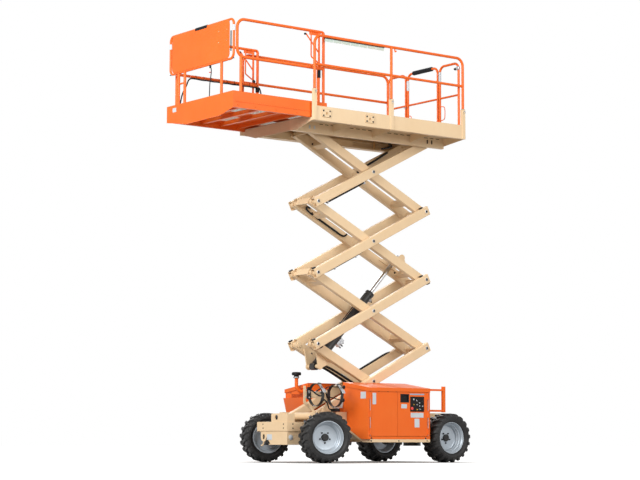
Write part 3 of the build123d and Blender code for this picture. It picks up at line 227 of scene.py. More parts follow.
# ---- Tyres --------------------------------------------------------------------------------------
# Rough-terrain tyres: black rubber moulded over a carcass, with two staggered rows of curved bars
# and two thin rings round each sidewall. Each one turns with its wheel.
rubber, net = new_finish("tyre_rubber")
place = node(net, "TexCoord").outputs["Object"]
bloom = noise(net, place, 5.0, 6.0, 0.65)
tone = mixed(net, ramp(net, bloom, 0.35, 0.72), (0.010, 0.010, 0.011, 1), (0.022, 0.021, 0.020, 1))
scuff = ramp(net, noise(net, place, 60.0, 5.0), 0.5, 0.75, high=0.2)
grain = {"Height": noise(net, place, 420.0, 3.0), "Strength": 0.25, "Distance": 0.001}
feed(net, net.nodes["Principled BSDF"], {
    "Base Color": mixed(net, scuff, tone, (0.07, 0.058, 0.048, 1)),
    "Roughness": ramp(net, bloom, 0.0, 1.0, 0.42, 0.66),
    "Normal": node(net, "Bump", grain), "Specular IOR Level": 0.28,
})


def turned(stations, steps=48, place=None, mesh=None, ends="capped"):
    """A body turned about its place's Z through (radius, height) stations: capped, joined or open."""
    mesh = mesh or bmesh.new()
    place = place or Matrix()
    rings = []
    for radius, height in stations:
        turns = [2 * pi * n / steps for n in range(steps)]
        spots = [place @ Vector((radius * cos(turn), radius * sin(turn), height)) for turn in turns]
        rings.append([mesh.verts.new(spot) for spot in spots])
    pairs = list(zip(rings, rings[1:]))
    if ends == "joined":
        pairs.append((rings[-1], rings[0]))
    for low, high in pairs:
        for n in range(steps):
            m = (n + 1) % steps
            mesh.faces.new((low[n], low[m], high[m], high[n]))
    if ends == "capped":
        mesh.faces.new(rings[0][::-1])
        mesh.faces.new(rings[-1])
    return mesh


def fitted(name, mesh, finish, body, place=None, rounding=0.0, crease=38):
    """Turns a mesh into a piece: its place, finish and rounded edges, and the body that carries it."""
    bmesh.ops.recalc_face_normals(mesh, faces=mesh.faces)
    form = bpy.data.meshes.new(name)
    mesh.to_mesh(form)
    mesh.free()
    if place:
        form.transform(place)
    form.materials.append(finish)
    form.polygons.foreach_set("use_smooth", [True] * len(form.polygons))
    form.set_sharp_from_angle(angle=radians(crease))
    thing = bpy.data.objects.new(name, form)
    studio.collection.objects.link(thing)
    if rounding:
        soften = thing.modifiers.new("rounded_edges", "BEVEL")
        soften.width = rounding
        soften.segments = 2
        soften.angle_limit = radians(crease)
    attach(thing, body)
    return thing


def facing_frame(origin, outward, up=(0, 0, 1)):
    """A place whose Z runs outward and whose X runs as near as can be to up."""
    z = Vector(outward).normalized()
    y = z.cross(Vector(up)).normalized()
    made = Matrix((y.cross(z), y, z)).transposed().to_4x4()
    made.translation = Vector(origin)
    return made


joint_of = {joint["child"]: joint for joint in frame["joints"]}
wheel_names = ("front_left", "front_right", "rear_left", "rear_right")


def wheel_place(name, outboard=True):
    """The wheel's own frame: Z along its axle, outboard or always to the right, X up."""
    joint = joint_of[f"wheel_{name}"]
    axle = Vector(joint["axis"])
    outward = axle if outboard and name.endswith("left") else -axle
    return facing_frame(joint["pos_m"], outward)


tread_radius = 0.330
bar_count = 20
bar_steps = 9
bar_sweep = 0.062  # how far a bar's outer end lies round the tyre from its inner end
# station = (radius, distance from the tyre's middle) of the right half, from the bead outwards
half_casing = [
    (0.2055, 0.111), (0.214, 0.1125), (0.2155, 0.118), (0.222, 0.126), (0.2245, 0.1305), (0.2275, 0.1305),
    (0.2295, 0.129), (0.236, 0.134), (0.252, 0.1435), (0.2555, 0.1465), (0.2585, 0.1465), (0.2615, 0.1455),
    (0.278, 0.1455), (0.292, 0.138), (0.301, 0.122), (0.307, 0.09), (0.3095, 0.045), (0.310, 0.0),
]
casing = half_casing + [(radius, -z) for radius, z in reversed(half_casing[:-1])]


def bar_height(z):
    """The bar's outer surface at this distance from the tyre's middle."""
    return tread_radius - 0.004 * (z / 0.15) ** 2 - 0.034 * max(0.0, (z - 0.118) / 0.032) ** 2


def tread_bar(mesh, row, turn):
    """One curved bar, from beside the middle out over the shoulder."""
    rings = []
    for step in range(bar_steps + 1):
        share = step / bar_steps
        z = 0.006 + 0.1435 * share
        half = 0.0135 + 0.0075 * share
        middle = turn + bar_sweep * (share**0.8) / tread_radius
        top = bar_height(z)
        root = 0.300 - 0.032 * max(0.0, (z - 0.095) / 0.055) ** 2
        ring = []
        # corner = (share of the half width, radius)
        for part, radius in (
            (-1.45, root), (-1.08, top - 0.007), (-0.93, top - 0.0015), (-0.6, top), (0.6, top),
            (0.93, top - 0.0015), (1.08, top - 0.007), (1.45, root),
        ):
            angle = middle + part * half / tread_radius
            ring.append(mesh.verts.new((radius * cos(angle), radius * sin(angle), row * z)))
        rings.append(ring)
    for low, high in zip(rings, rings[1:]):
        for n in range(len(low) - 1):
            mesh.faces.new((low[n], low[n + 1], high[n + 1], high[n]))
    mesh.faces.new(rings[0])
    mesh.faces.new(rings[-1][::-1])


for name in wheel_names:
    mesh = turned(casing, 120, ends="open")
    for row in (1, -1):
        for n in range(bar_count):
            tread_bar(mesh, row, radians((n + (0.5 if row < 0 else 0)) * 360 / bar_count - 4))
    place = wheel_place(name, outboard=False)
    tyre = fitted(f"lugged_tyre_{name}", mesh, rubber, f"wheel_{name}", place)
    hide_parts(f"tyre_{name}")

# ---- Wheel rims ---------------------------------------------------------------------------------
# Steel wheels in silver paint: a rolled lip, a stepped barrel and a flat welded disc with five studs
# round a black hub cap, and a brass valve.
silver_paint = enamel(
    "silver_paint", (0.36, 0.405, 0.45), faded=(0.43, 0.475, 0.52), grime=(0.16, 0.14, 0.12),
    bare=(0.5, 0.5, 0.5), roughness=0.36, wear=0.3, runs=0.05, metal=0.35,
)
gunmetal = enamel(
    "gunmetal", (0.014, 0.014, 0.016), faded=(0.026, 0.025, 0.024), grime=(0.09, 0.07, 0.05),
    bare=(0.12, 0.115, 0.11), roughness=0.42, wear=0.5, sheen=0.25,
)
brass = enamel(
    "brass", (0.55, 0.33, 0.14), faded=(0.62, 0.40, 0.2), grime=(0.2, 0.12, 0.06), bare=(0.8, 0.6, 0.3),
    roughness=0.3, metal=0.9,
)
# (radius, height outboard) round the rim's section, from the hub bore out and back
rim_section = [
    (0.048, -0.012), (0.150, -0.012), (0.158, -0.010), (0.1635, -0.004), (0.1655, 0.004), (0.1665, 0.020),
    (0.169, 0.024), (0.1745, 0.026), (0.1765, 0.030), (0.1785, 0.052), (0.1815, 0.056), (0.188, 0.058),
    (0.1905, 0.062), (0.1925, 0.088), (0.1945, 0.093), (0.1995, 0.098), (0.2015, 0.104), (0.2025, 0.1135),
    (0.2048, 0.1172), (0.2085, 0.118), (0.2115, 0.1165), (0.212, 0.1125), (0.2055, 0.1115), (0.2035, 0.098),
    (0.1965, 0.09), (0.1945, 0.062), (0.1845, 0.052), (0.1815, 0.028), (0.172, -0.02), (0.178, -0.06),
    (0.196, -0.09), (0.199, -0.1115), (0.2115, -0.1125), (0.212, -0.1165), (0.2085, -0.118), (0.196, -0.115),
    (0.190, -0.092), (0.172, -0.062), (0.165, -0.024), (0.048, -0.024),
]
hub_cap = [(0.047, -0.014), (0.047, 0.006), (0.044, 0.010), (0.022, 0.0115), (0.020, 0.009)]
valve = [(0.0045, 0.0), (0.0045, 0.02), (0.0032, 0.022), (0.0032, 0.033)]
valve_lean = Matrix.Translation((-0.148, -0.075, -0.010)) @ Matrix.Rotation(radians(-14), 4, "Y")
stud_circle = 0.070
stud_count = 5
for name in wheel_names:
    body = f"wheel_{name}"
    place = wheel_place(name)
    mesh = turned(rim_section, 144, ends="joined")
    rim = fitted(f"steel_rim_{name}", mesh, silver_paint, body, place, crease=50)
    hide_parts(f"rim_{name}")
    fitted(f"hub_cap_{name}", turned(hub_cap, 40), gunmetal, body, place)
    nuts = bmesh.new()
    for n in range(stud_count):
        angle = 2 * pi * (n + 0.5) / stud_count
        spot = Matrix.Translation((stud_circle * cos(angle), stud_circle * sin(angle), -0.012))
        turned([(0.0115, 0.0), (0.0115, 0.010), (0.0095, 0.012)], 6, spot, nuts)
        turned([(0.0062, 0.010), (0.0062, 0.019), (0.005, 0.0205)], 12, spot, nuts)
    fitted(f"wheel_nuts_{name}", nuts, gunmetal, body, place)
    fitted(f"tyre_valve_{name}", turned(valve, 12), brass, body, place @ valve_lean)

# ---- Nose fittings ------------------------------------------------------------------------------
# Small things bolted to the nose: the bumper band's screws, a blank stick-on plate, a round white
# reflector, a hook under the towing lobe and hose ends behind it.
sticker_film = enamel(
    "sticker_film", (0.60, 0.65, 0.69), faded=(0.52, 0.56, 0.60), grime=(0.3, 0.29, 0.28),
    bare=(0.5, 0.5, 0.5), roughness=0.4, coat=0.2, wear=0.15, dust=0.05,
)
zinc_plate = enamel(
    "zinc_plate", (0.52, 0.53, 0.55), faded=(0.42, 0.42, 0.43), grime=(0.14, 0.12, 0.1),
    bare=(0.7, 0.7, 0.7), roughness=0.3, dust=0.15, metal=0.85,
)
hose_rubber = enamel(
    "hose_rubber", (0.007, 0.007, 0.008), faded=(0.014, 0.014, 0.015), grime=(0.05, 0.042, 0.034),
    bare=(0.05, 0.05, 0.05), roughness=0.5, sheen=0.2,
)


def slab(one, other, mesh=None, place=None):
    """A block between two opposite corners."""
    mesh = mesh or bmesh.new()
    middle = (Vector(one) + Vector(other)) / 2
    size = [abs(side) for side in Vector(other) - Vector(one)]
    place = (place or Matrix()) @ Matrix.Translation(middle) @ Matrix.Diagonal((*size, 1))
    bmesh.ops.create_cube(mesh, size=1, matrix=place)
    return mesh


def rounded_plate(place, height, width, corner, thickness, mesh=None):
    """A flat plate with round corners, its height along its place's X and its thickness along Z."""
    mesh = mesh or bmesh.new()
    rim = []
    for quarter, (up, over) in enumerate(((1, 1), (-1, 1), (-1, -1), (1, -1))):
        for step in range(5):
            turn = pi / 2 * (quarter + step / 4)
            x = up * (height / 2 - corner) + corner * cos(turn)
            rim.append((x, over * (width / 2 - corner) + corner * sin(turn)))
    back = [mesh.verts.new(place @ Vector((x, y, 0))) for x, y in rim]
    front = [mesh.verts.new(place @ Vector((x, y, thickness))) for x, y in rim]
    mesh.faces.new(back[::-1])
    mesh.faces.new(front)
    for n in range(len(rim)):
        m = (n + 1) % len(rim)
        mesh.faces.new((back[n], back[m], front[m], front[n]))
    return mesh


def screw_heads(spots, outward, radius, mesh=None):
    """Hexagon heads on their washers, all facing the same way."""
    mesh = mesh or bmesh.new()
    for spot in spots:
        place = facing_frame(spot, outward)
        turned([(radius * 1.6, 0), (radius * 1.6, radius * 0.25)], 16, place, mesh)
        turned([(radius, radius * 0.2), (radius, radius * 0.85), (radius * 0.85, radius)], 6, place, mesh)
    return mesh


def flexible(name, points, radius, body, finish=hose_rubber):
    """A hose, cable or bent bar on a smooth line near these points, clipped to what carries it."""
    line = bpy.data.curves.new(name, "CURVE")
    line.dimensions = "3D"
    run = line.splines.new("NURBS")
    run.points.add(len(points) - 1)
    for knot, point in zip(run.points, points):
        knot.co = (*point, 1)
    run.order_u = 3
    run.use_endpoint_u = True
    line.resolution_u = 6
    line.bevel_depth = radius
    line.bevel_resolution = 3
    line.use_fill_caps = True
    line.materials.append(finish)
    thing = bpy.data.objects.new(name, line)
    studio.collection.objects.link(thing)
    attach(thing, body)


band_x, band_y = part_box("nose_plate")[1][:2]
nose_face_x = band_x - 0.010
mesh = screw_heads([(band_x, y, z) for y in (-0.20, 0.255) for z in (0.501, 0.450)], (1, 0, 0), 0.006)
for side in (1, -1):
    screw_heads([(0.673, side * band_y, z) for z in (0.502, 0.448)], (0, side, 0), 0.006, mesh)
fitted("band_screws", mesh, gunmetal, "chassis")
sticker_place = facing_frame((nose_face_x, -0.068, 0.334), (1, 0, 0))
fitted("nose_sticker", rounded_plate(sticker_place, 0.074, 0.112, 0.006, 0.0015), sticker_film, "chassis")
reflector = [(0.034, 0), (0.034, 0.004), (0.031, 0.0055), (0.006, 0.0065), (0.004, 0.005)]
reflector_place = facing_frame((0.700, 0.325, 0.330), (0, 1, 0))
fitted("nose_reflector", turned(reflector, 40), sticker_film, "chassis", place=reflector_place)
# towing hook: a bent flat bar under the lobe
hook = [(0.745, -0.205, 0.285), (0.744, -0.215, 0.252), (0.738, -0.24, 0.222), (0.728, -0.285, 0.225)]
flexible("towing_hook", hook, 0.011, "chassis", cream_enamel)
# hose ends behind the lobe, on the steering cylinder's ports
port = [(0.010, 0), (0.010, 0.018), (0.0125, 0.020), (0.0125, 0.034), (0.008, 0.038), (0.008, 0.060)]
port_y = -0.30
for n, z in enumerate((0.352, 0.316)):
    place = facing_frame((0.470, port_y, z), (1, 0, 0))
    fitted(f"steering_fitting_{n + 1}", turned(port, 6), zinc_plate, "chassis", place=place)
    run = [(0.525, 0, 0), (0.565, 0, 0), (0.585, 0.03, 0.05), (0.57, 0.11, 0.06), (0.50, 0.16, 0.03)]
    flexible(f"steering_hose_{n + 1}", [(x, port_y + over, z + up) for x, over, up in run], 0.008, "chassis")

# ---- Housing fittings ---------------------------------------------------------------------------
# What is fixed to the two orange housings: hinge pins and backing strips, rubber draw latches under
# the lids, tray screws, a louvre, the window, the ground control plate and blank stick-on plates.
smoked_pane = enamel(
    "smoked_pane", (0.006, 0.005, 0.005), faded=(0.011, 0.009, 0.009), grime=(0.03, 0.024, 0.02),
    bare=(0.06, 0.06, 0.06), roughness=0.3, wear=0.1, dust=0.03, sheen=0.15,
)
stop_red = enamel(
    "stop_red", (0.75, 0.03, 0.025), faded=(0.7, 0.06, 0.05), grime=(0.3, 0.03, 0.02), bare=(0.8, 0.3, 0.25),
    roughness=0.3, coat=0.4,
)
slate_film = enamel(
    "slate_film", (0.30, 0.38, 0.50), faded=(0.36, 0.43, 0.54), grime=(0.25, 0.24, 0.24),
    bare=(0.6, 0.6, 0.6), roughness=0.4, coat=0.2, wear=0.3,
)
amber_knob = enamel(
    "amber_knob", (0.62, 0.33, 0.02), faded=(0.6, 0.38, 0.06), grime=(0.2, 0.13, 0.03), bare=(0.7, 0.6, 0.4),
    roughness=0.35, coat=0.3,
)
leaf_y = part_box("left_door")[1][1] - 0.012
hinge_y = leaf_y + 0.003
front_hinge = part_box("left_door")[1][0] - 0.009
rear_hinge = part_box("left_rear_door")[0][0] + 0.009
door_low, door_high = 0.349, 0.930
tray_y = 0.825
lid_fall = (0.979 - 1.054) / (tray_y - 0.308)  # slope of a lid, from its inner edge outwards
for side, hand in ((1, "left"), (-1, "right")):
    pins = bmesh.new()
    lining = bmesh.new()
    back, front = side * (hinge_y - 0.012), side * (hinge_y - 0.007)
    for hinge_x, away, door in ((front_hinge, 1, "door"), (rear_hinge, -1, "rear_door")):
        spot = Matrix.Translation((hinge_x, side * (hinge_y + 0.0035), 0))
        turned([(0.0032, door_low + 0.006), (0.0032, door_high - 0.006)], 12, spot, pins)
        near, far = hinge_x + away * 0.0015, hinge_x + away * 0.012
        slab((near, back, door_low - 0.003), (far, front, door_high + 0.003), lining)
        near, far = hinge_x - away * 0.0015, hinge_x - away * 0.014
        strip = slab((near, back, door_low), (far, front, door_high))
        fitted(f"{hand}_{door}_edge", strip, orange_enamel, f"{hand}_{door}")
    fitted(f"{hand}_hinge_pins", pins, zinc_plate, "chassis")
    fitted(f"{hand}_hinge_lining", lining, orange_enamel, "chassis")
    latches = bmesh.new()
    for x in (-0.222, -0.362, -0.513, -0.658, -0.873, -1.190):
        slab((x - 0.014, side * 0.8255, 0.930), (x + 0.014, side * 0.8335, 0.9435), latches)
    fitted(f"{hand}_lid_latches", latches, hose_rubber, "chassis", rounding=0.002)
    spots = [(x, side * tray_y, z) for x, z in ((-0.238, 0.3225), (-1.165, 0.3225), (-0.232, 0.288))]
    screws = screw_heads(spots, (0, side, 0), 0.0075)
    screw_heads([(x, side * tray_y, 0.288) for x in (-0.70, -1.19)], (0, side, 0), 0.006, screws)
    fitted(f"{hand}_tray_screws", screws, gunmetal, "chassis")
    seams = bmesh.new()
    for x in (-0.40, -0.74):
        spot = facing_frame((x, side * 0.575, 1.0225), (0, -side * lid_fall, 1), up=(1, 0, 0))
        rounded_plate(spot, 0.012, 0.50, 0.003, 0.0018, seams)
    fitted(f"{hand}_lid_seams", seams, orange_enamel, "chassis")

# louvre in the right housing's face: slanted slats over a thin dark sheet, painted shade for the opening behind
# them
louvre_x = -0.0565
painted_louvre_shade = enamel(
    "painted_louvre_shade", (0.30, 0.035, 0.008), faded=(0.36, 0.045, 0.01), grime=(0.1, 0.02, 0.01),
    bare=(0.3, 0.1, 0.05), roughness=0.6, wear=0.1,
)
# painted shade: a dark sheet where the opening's inside lies in shade
mesh = slab((louvre_x - 0.001, -0.685, 0.871), (louvre_x + 0.001, -0.434, 0.916))
fitted("louvre_painted_shadow_sheet", mesh, painted_louvre_shade, "chassis")
slats = bmesh.new()
for z in (0.877, 0.888, 0.899, 0.910):
    spot = facing_frame((louvre_x + 0.001, -0.5595, z), (1, 0, 1.1))
    rounded_plate(spot, 0.009, 0.246, 0.0008, 0.0012, slats)
fitted("louvre_slats", slats, orange_enamel, "chassis")
mesh = screw_heads([(louvre_x, y, 0.934) for y in (-0.70, -0.42)], (1, 0, 0), 0.005)
fitted("louvre_screws", mesh, gunmetal, "chassis")

# window: a smoked pane in a rubber seal, with a wire guard behind it
window_rear, window_front = -0.869, -0.733
window_foot, window_head = 0.800, 0.900
pane_low = (window_rear + 0.004, leaf_y - 0.016, window_foot + 0.004)
pane_high = (window_front - 0.004, leaf_y - 0.013, window_head - 0.004)
fitted("window_pane", slab(pane_low, pane_high), smoked_pane, "left_rear_door")
seal = bmesh.new()
for x0, x1, z0, z1 in (
    (window_rear - 0.006, window_front + 0.006, window_foot - 0.006, window_foot + 0.005),
    (window_rear - 0.006, window_front + 0.006, window_head - 0.005, window_head + 0.006),
    (window_rear - 0.006, window_rear + 0.005, window_foot, window_head),
    (window_front - 0.005, window_front + 0.006, window_foot, window_head),
):
    slab((x0, leaf_y - 0.012, z0), (x1, leaf_y + 0.003, z1), seal)
fitted("window_seal", seal, hose_rubber, "left_rear_door", rounding=0.001)
wires = bmesh.new()
wire = 0.0012
for n in range(1, 6):
    x = window_rear + n * (window_front - window_rear) / 6
    slab((x - wire, leaf_y - 0.0128, window_foot), (x + wire, leaf_y - 0.0105, window_head), wires)
for n in range(1, 5):
    z = window_foot + n * (window_head - window_foot) / 5
    slab((window_rear, leaf_y - 0.0135, z - wire), (window_front, leaf_y - 0.0115, z + wire), wires)
fitted("window_guard", wires, gunmetal, "left_rear_door")

# ground controls: a black plate with toggles, key switch, gauges and the red stop
panel_x, panel_z = -1.0165, 0.7735
panel_y = leaf_y + 0.003
back = facing_frame((panel_x, leaf_y - 0.0115, panel_z), (0, 1, 0))
mesh = rounded_plate(back, 0.198, 0.238, 0.008, 0.0145)
rounded_plate(facing_frame((panel_x, panel_y, panel_z), (0, 1, 0)), 0.180, 0.220, 0.006, 0.0012, mesh)
plate = fitted("control_plate", mesh, smoked_pane, "left_rear_door", rounding=0.0008)
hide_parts("ground_controls")
stop_form = [(0.011, 0), (0.011, 0.008), (0.019, 0.010), (0.0205, 0.014), (0.019, 0.0185), (0.012, 0.0205)]
stop_place = facing_frame((-0.9155, panel_y + 0.001, 0.715), (0, 1, 0))
fitted("stop_button", turned(stop_form, 32), stop_red, "left_rear_door", place=stop_place)
# control = (along, height, finish, kind)
controls = [
    (-0.954, 0.838, sticker_film, "gauge"), (-1.008, 0.818, zinc_plate, "toggle"),
    (-1.054, 0.790, zinc_plate, "toggle"), (-0.956, 0.767, amber_knob, "toggle"),
    (-1.054, 0.750, zinc_plate, "toggle"), (-1.103, 0.748, zinc_plate, "key"),
    (-1.011, 0.702, amber_knob, "key"), (-1.062, 0.705, zinc_plate, "toggle"),
    (-1.011, 0.768, zinc_plate, "toggle"), (-1.103, 0.812, gunmetal, "gauge"),
]
for n, (x, z, finish, kind) in enumerate(controls):
    if kind == "toggle":
        mesh = turned([(0.0075, 0), (0.0075, 0.003), (0.005, 0.0045)], 12)
        turned([(0.0022, 0.003), (0.0034, 0.017), (0.002, 0.0185)], 10, mesh=mesh)
    elif kind == "key":
        mesh = turned([(0.0085, 0), (0.0085, 0.005), (0.0065, 0.007)], 20)
        slab((-0.0045, -0.0012, 0.006), (0.0045, 0.0012, 0.020), mesh)
    else:
        mesh = turned([(0.011, 0), (0.011, 0.0035), (0.009, 0.0045), (0.0085, 0.003)], 24)
    place = facing_frame((x, panel_y + 0.0012, z), (0, 1, 0))
    fitted(f"control_{n + 1}", mesh, finish, "left_rear_door", place=place)

# stick-on plates, all blank: (name, body, middle, outward, height, width, finish)
stickers = [
    ("face_sticker", "chassis", (-0.182, 0.723, 0.883), (1, 0, 0), 0.090, 0.112, sticker_film),
    ("door_sticker", "left_door", (-0.285, leaf_y, 0.838), (0, 1, 0), 0.150, 0.060, sticker_film),
    ("window_sticker", "left_rear_door", (-0.790, leaf_y, 0.744), (0, 1, 0), 0.056, 0.098, sticker_film),
    ("panel_sticker", "left_rear_door", (-1.016, leaf_y, 0.628), (0, 1, 0), 0.064, 0.222, sticker_film),
    ("lower_sticker", "left_rear_door", (-1.013, leaf_y, 0.524), (0, 1, 0), 0.116, 0.084, sticker_film),
    ("header_strip", "left_rear_door", (-1.016, leaf_y, 0.904), (0, 1, 0), 0.018, 0.250, slate_film),
]
for name, body, spot, outward, height, width, finish in stickers:
    fitted(name, rounded_plate(facing_frame(spot, outward), height, width, 0.004, 0.0008), finish, body)

# ---- Engine -------------------------------------------------------------------------------------
# A small cast-iron petrol and gas engine stands in the right housing behind its doors. The block is
# painted dark grey at the works and carries oil stains, dust and a few bare edges.
engine_paint = enamel(
    "engine_iron_finish", (0.075, 0.078, 0.08), faded=(0.11, 0.11, 0.105), grime=(0.03, 0.024, 0.018),
    bare=(0.3, 0.27, 0.23), roughness=0.6, wear=0.7, dust=0.35, runs=0.5,
)
coat_all(engine_paint, "engine_iron")

# ---- Bottle cradle fittings ---------------------------------------------------------------------
# Bright draw latches on the two band straps, a black backing plate, the clamp screws with their
# round knobs, a galvanised bracket on the rail and the hoses that the cradle carries.
strap_low, strap_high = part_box("tank_straps")
strap_y = 0.500
outward = Vector((0, 0.69, 0.72)).normalized()
along = Vector((0, 0.72, -0.69)).normalized()
# strap = (name, its place lengthwise, height of its middle)
for name, x, z in (("front", strap_high[0] - 0.0225, 0.881), ("rear", strap_low[0] + 0.0225, 0.874)):
    middle = Vector((x, strap_y, z)) + outward * 0.1505 + along * 0.020
    latch = rounded_plate(facing_frame(middle, outward, along), 0.176, 0.042, 0.006, 0.0035)
    lifted = facing_frame(middle + along * 0.066 + outward * 0.003, outward + along * 0.25, along)
    rounded_plate(lifted, 0.060, 0.052, 0.006, 0.0030, latch)
    fitted(f"{name}_latch", latch, zinc_plate, "chassis", rounding=0.0006)
    slot = rounded_plate(facing_frame(middle + outward * 0.0036, outward, along), 0.020, 0.026, 0.008, 0.0012)
    pin_place = facing_frame(middle - along * 0.070 + outward * 0.006, (1, 0, 0))
    turned([(0.004, -0.025), (0.004, 0.025)], 12, pin_place, slot)
    fitted(f"{name}_latch_slot", slot, hose_rubber, "chassis")
    # lugs that join the two halves of the strap, one low on its outer side, one high on its inner side
    lugs = bmesh.new()
    for turn in (-118, 62):
        place = facing_frame((x, strap_y, z), (1, 0, 0)) @ Matrix.Rotation(radians(turn), 4, "Z")
        slab((0.148, -0.006, -0.018), (0.172, 0.006, 0.018), lugs, place)
    fitted(f"{name}_strap_joint", lugs, hose_rubber, "chassis", rounding=0.001)
mesh = slab((0.404, 0.3535, 0.822), (0.466, 0.368, 0.984))
slab((0.086, 0.3535, 0.800), (0.128, 0.366, 0.955), mesh)
fitted("cradle_backing", mesh, gunmetal, "chassis", rounding=0.002)
spots = [(0.478, 0.353, 0.86), (0.478, 0.353, 0.95), (0.435, 0.368, 0.85), (0.435, 0.368, 0.915)]
fitted("cradle_screws", screw_heads(spots, (0, 1, 0), 0.007), zinc_plate, "chassis")
knob = [
    (0.006, -0.012), (0.012, -0.010), (0.0125, -0.004), (0.024, -0.003), (0.0255, 0.002), (0.022, 0.007),
    (0.010, 0.009),
]
# clamp screw = (name, points from the cradle out to the knob)
clamp_screws = [
    ("upper", [
        (0.235, 0.356, 0.905), (0.240, 0.42, 0.935), (0.245, 0.492, 0.985), (0.18, 0.50, 0.989),
        (0.06, 0.50, 0.988), (-0.036, 0.50, 0.988),
    ]),
    ("lower", [
        (0.140, 0.356, 0.865), (0.125, 0.45, 0.850), (0.09, 0.535, 0.825), (0.05, 0.55, 0.817),
        (0.012, 0.55, 0.816),
    ]),
]
for name, points in clamp_screws:
    flexible(f"{name}_clamp_bar", points, 0.0068, "chassis")
    place = facing_frame(points[-1], (-1, 0, 0))
    fitted(f"{name}_clamp_knob", turned(knob, 28), hose_rubber, "chassis", place=place)
mesh = slab((-0.052, 0.395, 0.716), (0.086, 0.455, 0.724))
slab((-0.052, 0.395, 0.716), (-0.044, 0.455, 0.790), mesh)
slab((0.010, 0.345, 0.706), (0.020, 0.455, 0.716), mesh)
fitted("gauge_bracket", mesh, zinc_plate, "chassis", rounding=0.0012)
mesh = slab((-0.010, 0.352, 0.666), (0.066, 0.452, 0.706))
fitted("bracket_foot", mesh, hose_rubber, "chassis", rounding=0.003)
gas_runs = [
    [
        (0.445, 0.362, 0.93), (0.44, 0.41, 0.955), (0.40, 0.45, 0.90), (0.31, 0.45, 0.86), (0.24, 0.40, 0.90),
        (0.235, 0.358, 0.925),
    ],
    [
        (0.33, 0.357, 0.915), (0.31, 0.43, 0.975), (0.25, 0.47, 0.95), (0.20, 0.44, 0.86), (0.13, 0.40, 0.84),
        (0.11, 0.36, 0.85),
    ],
    [(0.21, 0.356, 0.84), (0.19, 0.43, 0.80), (0.16, 0.42, 0.73), (0.10, 0.36, 0.70), (0.02, 0.34, 0.69)],
]
for n, points in enumerate(gas_runs):
    flexible(f"gas_hose_{n + 1}", points, 0.009, "chassis")
nuts = bmesh.new()
for spot, outward in (
    ((0.33, 0.36, 0.915), (0, 1, 0.6)), ((0.445, 0.366, 0.93), (0, 1, 0)), ((0.235, 0.36, 0.925), (0, 1, 0)),
):
    nut = [(0.013, -0.006), (0.013, 0.014), (0.011, 0.016), (0.011, 0.030)]
    turned(nut, 6, facing_frame(spot, outward), nuts)
fitted("hose_nuts", nuts, zinc_plate, "chassis")

# ---- Engine air intake --------------------------------------------------------------------------
# An orange pipe from the right housing with a black rubber elbow collar, a worm-drive clamp and a
# moulded black rain cap with ribs round its rim.
pipe_low, pipe_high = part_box("intake_pipe")
cap_place = Matrix.Translation((pipe_high[0] - 0.061, (pipe_low[1] + pipe_high[1]) / 2, pipe_high[2]))
cap_form = [
    (0.0262, -0.088), (0.036, -0.086), (0.0365, -0.060), (0.0345, -0.056), (0.0345, -0.048), (0.056, -0.047),
    (0.0618, -0.042), (0.0622, -0.014), (0.0600, -0.008), (0.055, -0.0045), (0.030, -0.0015), (0.004, -0.001),
]
fitted("intake_cap", turned(cap_form, 56), hose_rubber, "chassis", place=cap_place)
ribs = bmesh.new()
for n in range(24):
    place = Matrix.Rotation(2 * pi * n / 24, 4, "Z")
    slab((0.061, -0.0022, -0.039), (0.0634, 0.0022, -0.017), ribs, place)
fitted("intake_cap_ribs", ribs, hose_rubber, "chassis", place=cap_place)
band = [(0.0355, -0.080), (0.0375, -0.080), (0.0375, -0.067), (0.0355, -0.067)]
mesh = turned(band, ends="joined")
slab((0.036, -0.016, -0.081), (0.048, 0.016, -0.066), mesh, Matrix.Rotation(radians(-40), 4, "Z"))
fitted("intake_clamp", mesh, zinc_plate, "chassis", place=cap_place)

# ---- Scissor stack fittings ---------------------------------------------------------------------
# On the cream arms: a keeper screw in every pin, rubber bump pads where the arms close on each
# other, and the hoses and cable that run up the stack in clips.
first_pin = Vector(joint_of["outer_1"]["pos_m"])
half_arm = Vector(joint_of["inner_1"]["pos_m"]) - first_pin
stage_rise = Vector((0, 0, 2 * half_arm.z))
arm_length = 2 * half_arm.length
arm_half_depth = 0.0625
outer_y, inner_y = 0.2545, 0.1745
inner_face_y = inner_y - 0.0375
outer_face_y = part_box("outer_arms_1")[1][1]


def on_arm(stage, kind, along, y, above=0.0):
    """A point beside an arm: this far along it from its lower pin, and above its centre line."""
    slope = half_arm.normalized()
    start = first_pin + stage * stage_rise
    if kind == "inner":
        start = start + Vector((2 * half_arm.x, 0, 0))
        slope = Vector((-slope.x, 0, slope.z))
    rising = Vector((0, 1, 0)).cross(slope)
    if rising.z < 0:
        rising = -rising
    spot = start + slope * along + rising * above
    return Vector((spot.x, y, spot.z))


def arm_slope(stage, kind):
    """The way up an arm."""
    return on_arm(stage, kind, 1, 0) - on_arm(stage, kind, 0, 0)


def arm_frame(stage, kind, along, y, above=0.0):
    """The same point as a place: X along the arm, Z out of the machine to the left."""
    return facing_frame(on_arm(stage, kind, along, y, above), (0, 1, 0), up=arm_slope(stage, kind))


for stage in range(4):
    keepers = bmesh.new()
    washers = bmesh.new()
    for along in (0, arm_length / 2, arm_length):
        for side in (1, -1):
            if stage == 3 and along == arm_length:
                continue
            spot = on_arm(stage, "outer", along, side * outer_face_y)
            washer = [(0.024, 0), (0.024, 0.0025), (0.0225, 0.0035), (0.010, 0.0035)]
            turned(washer, 32, facing_frame(spot, (0, side, 0)), washers)
            screw_heads([spot + Vector((0, side * 0.003, 0))], (0, side, 0), 0.0105, keepers)
    fitted(f"pin_washers_{stage + 1}", washers, zinc_plate, f"outer_{stage + 1}")
    fitted(f"pin_keepers_{stage + 1}", keepers, gunmetal, f"outer_{stage + 1}")

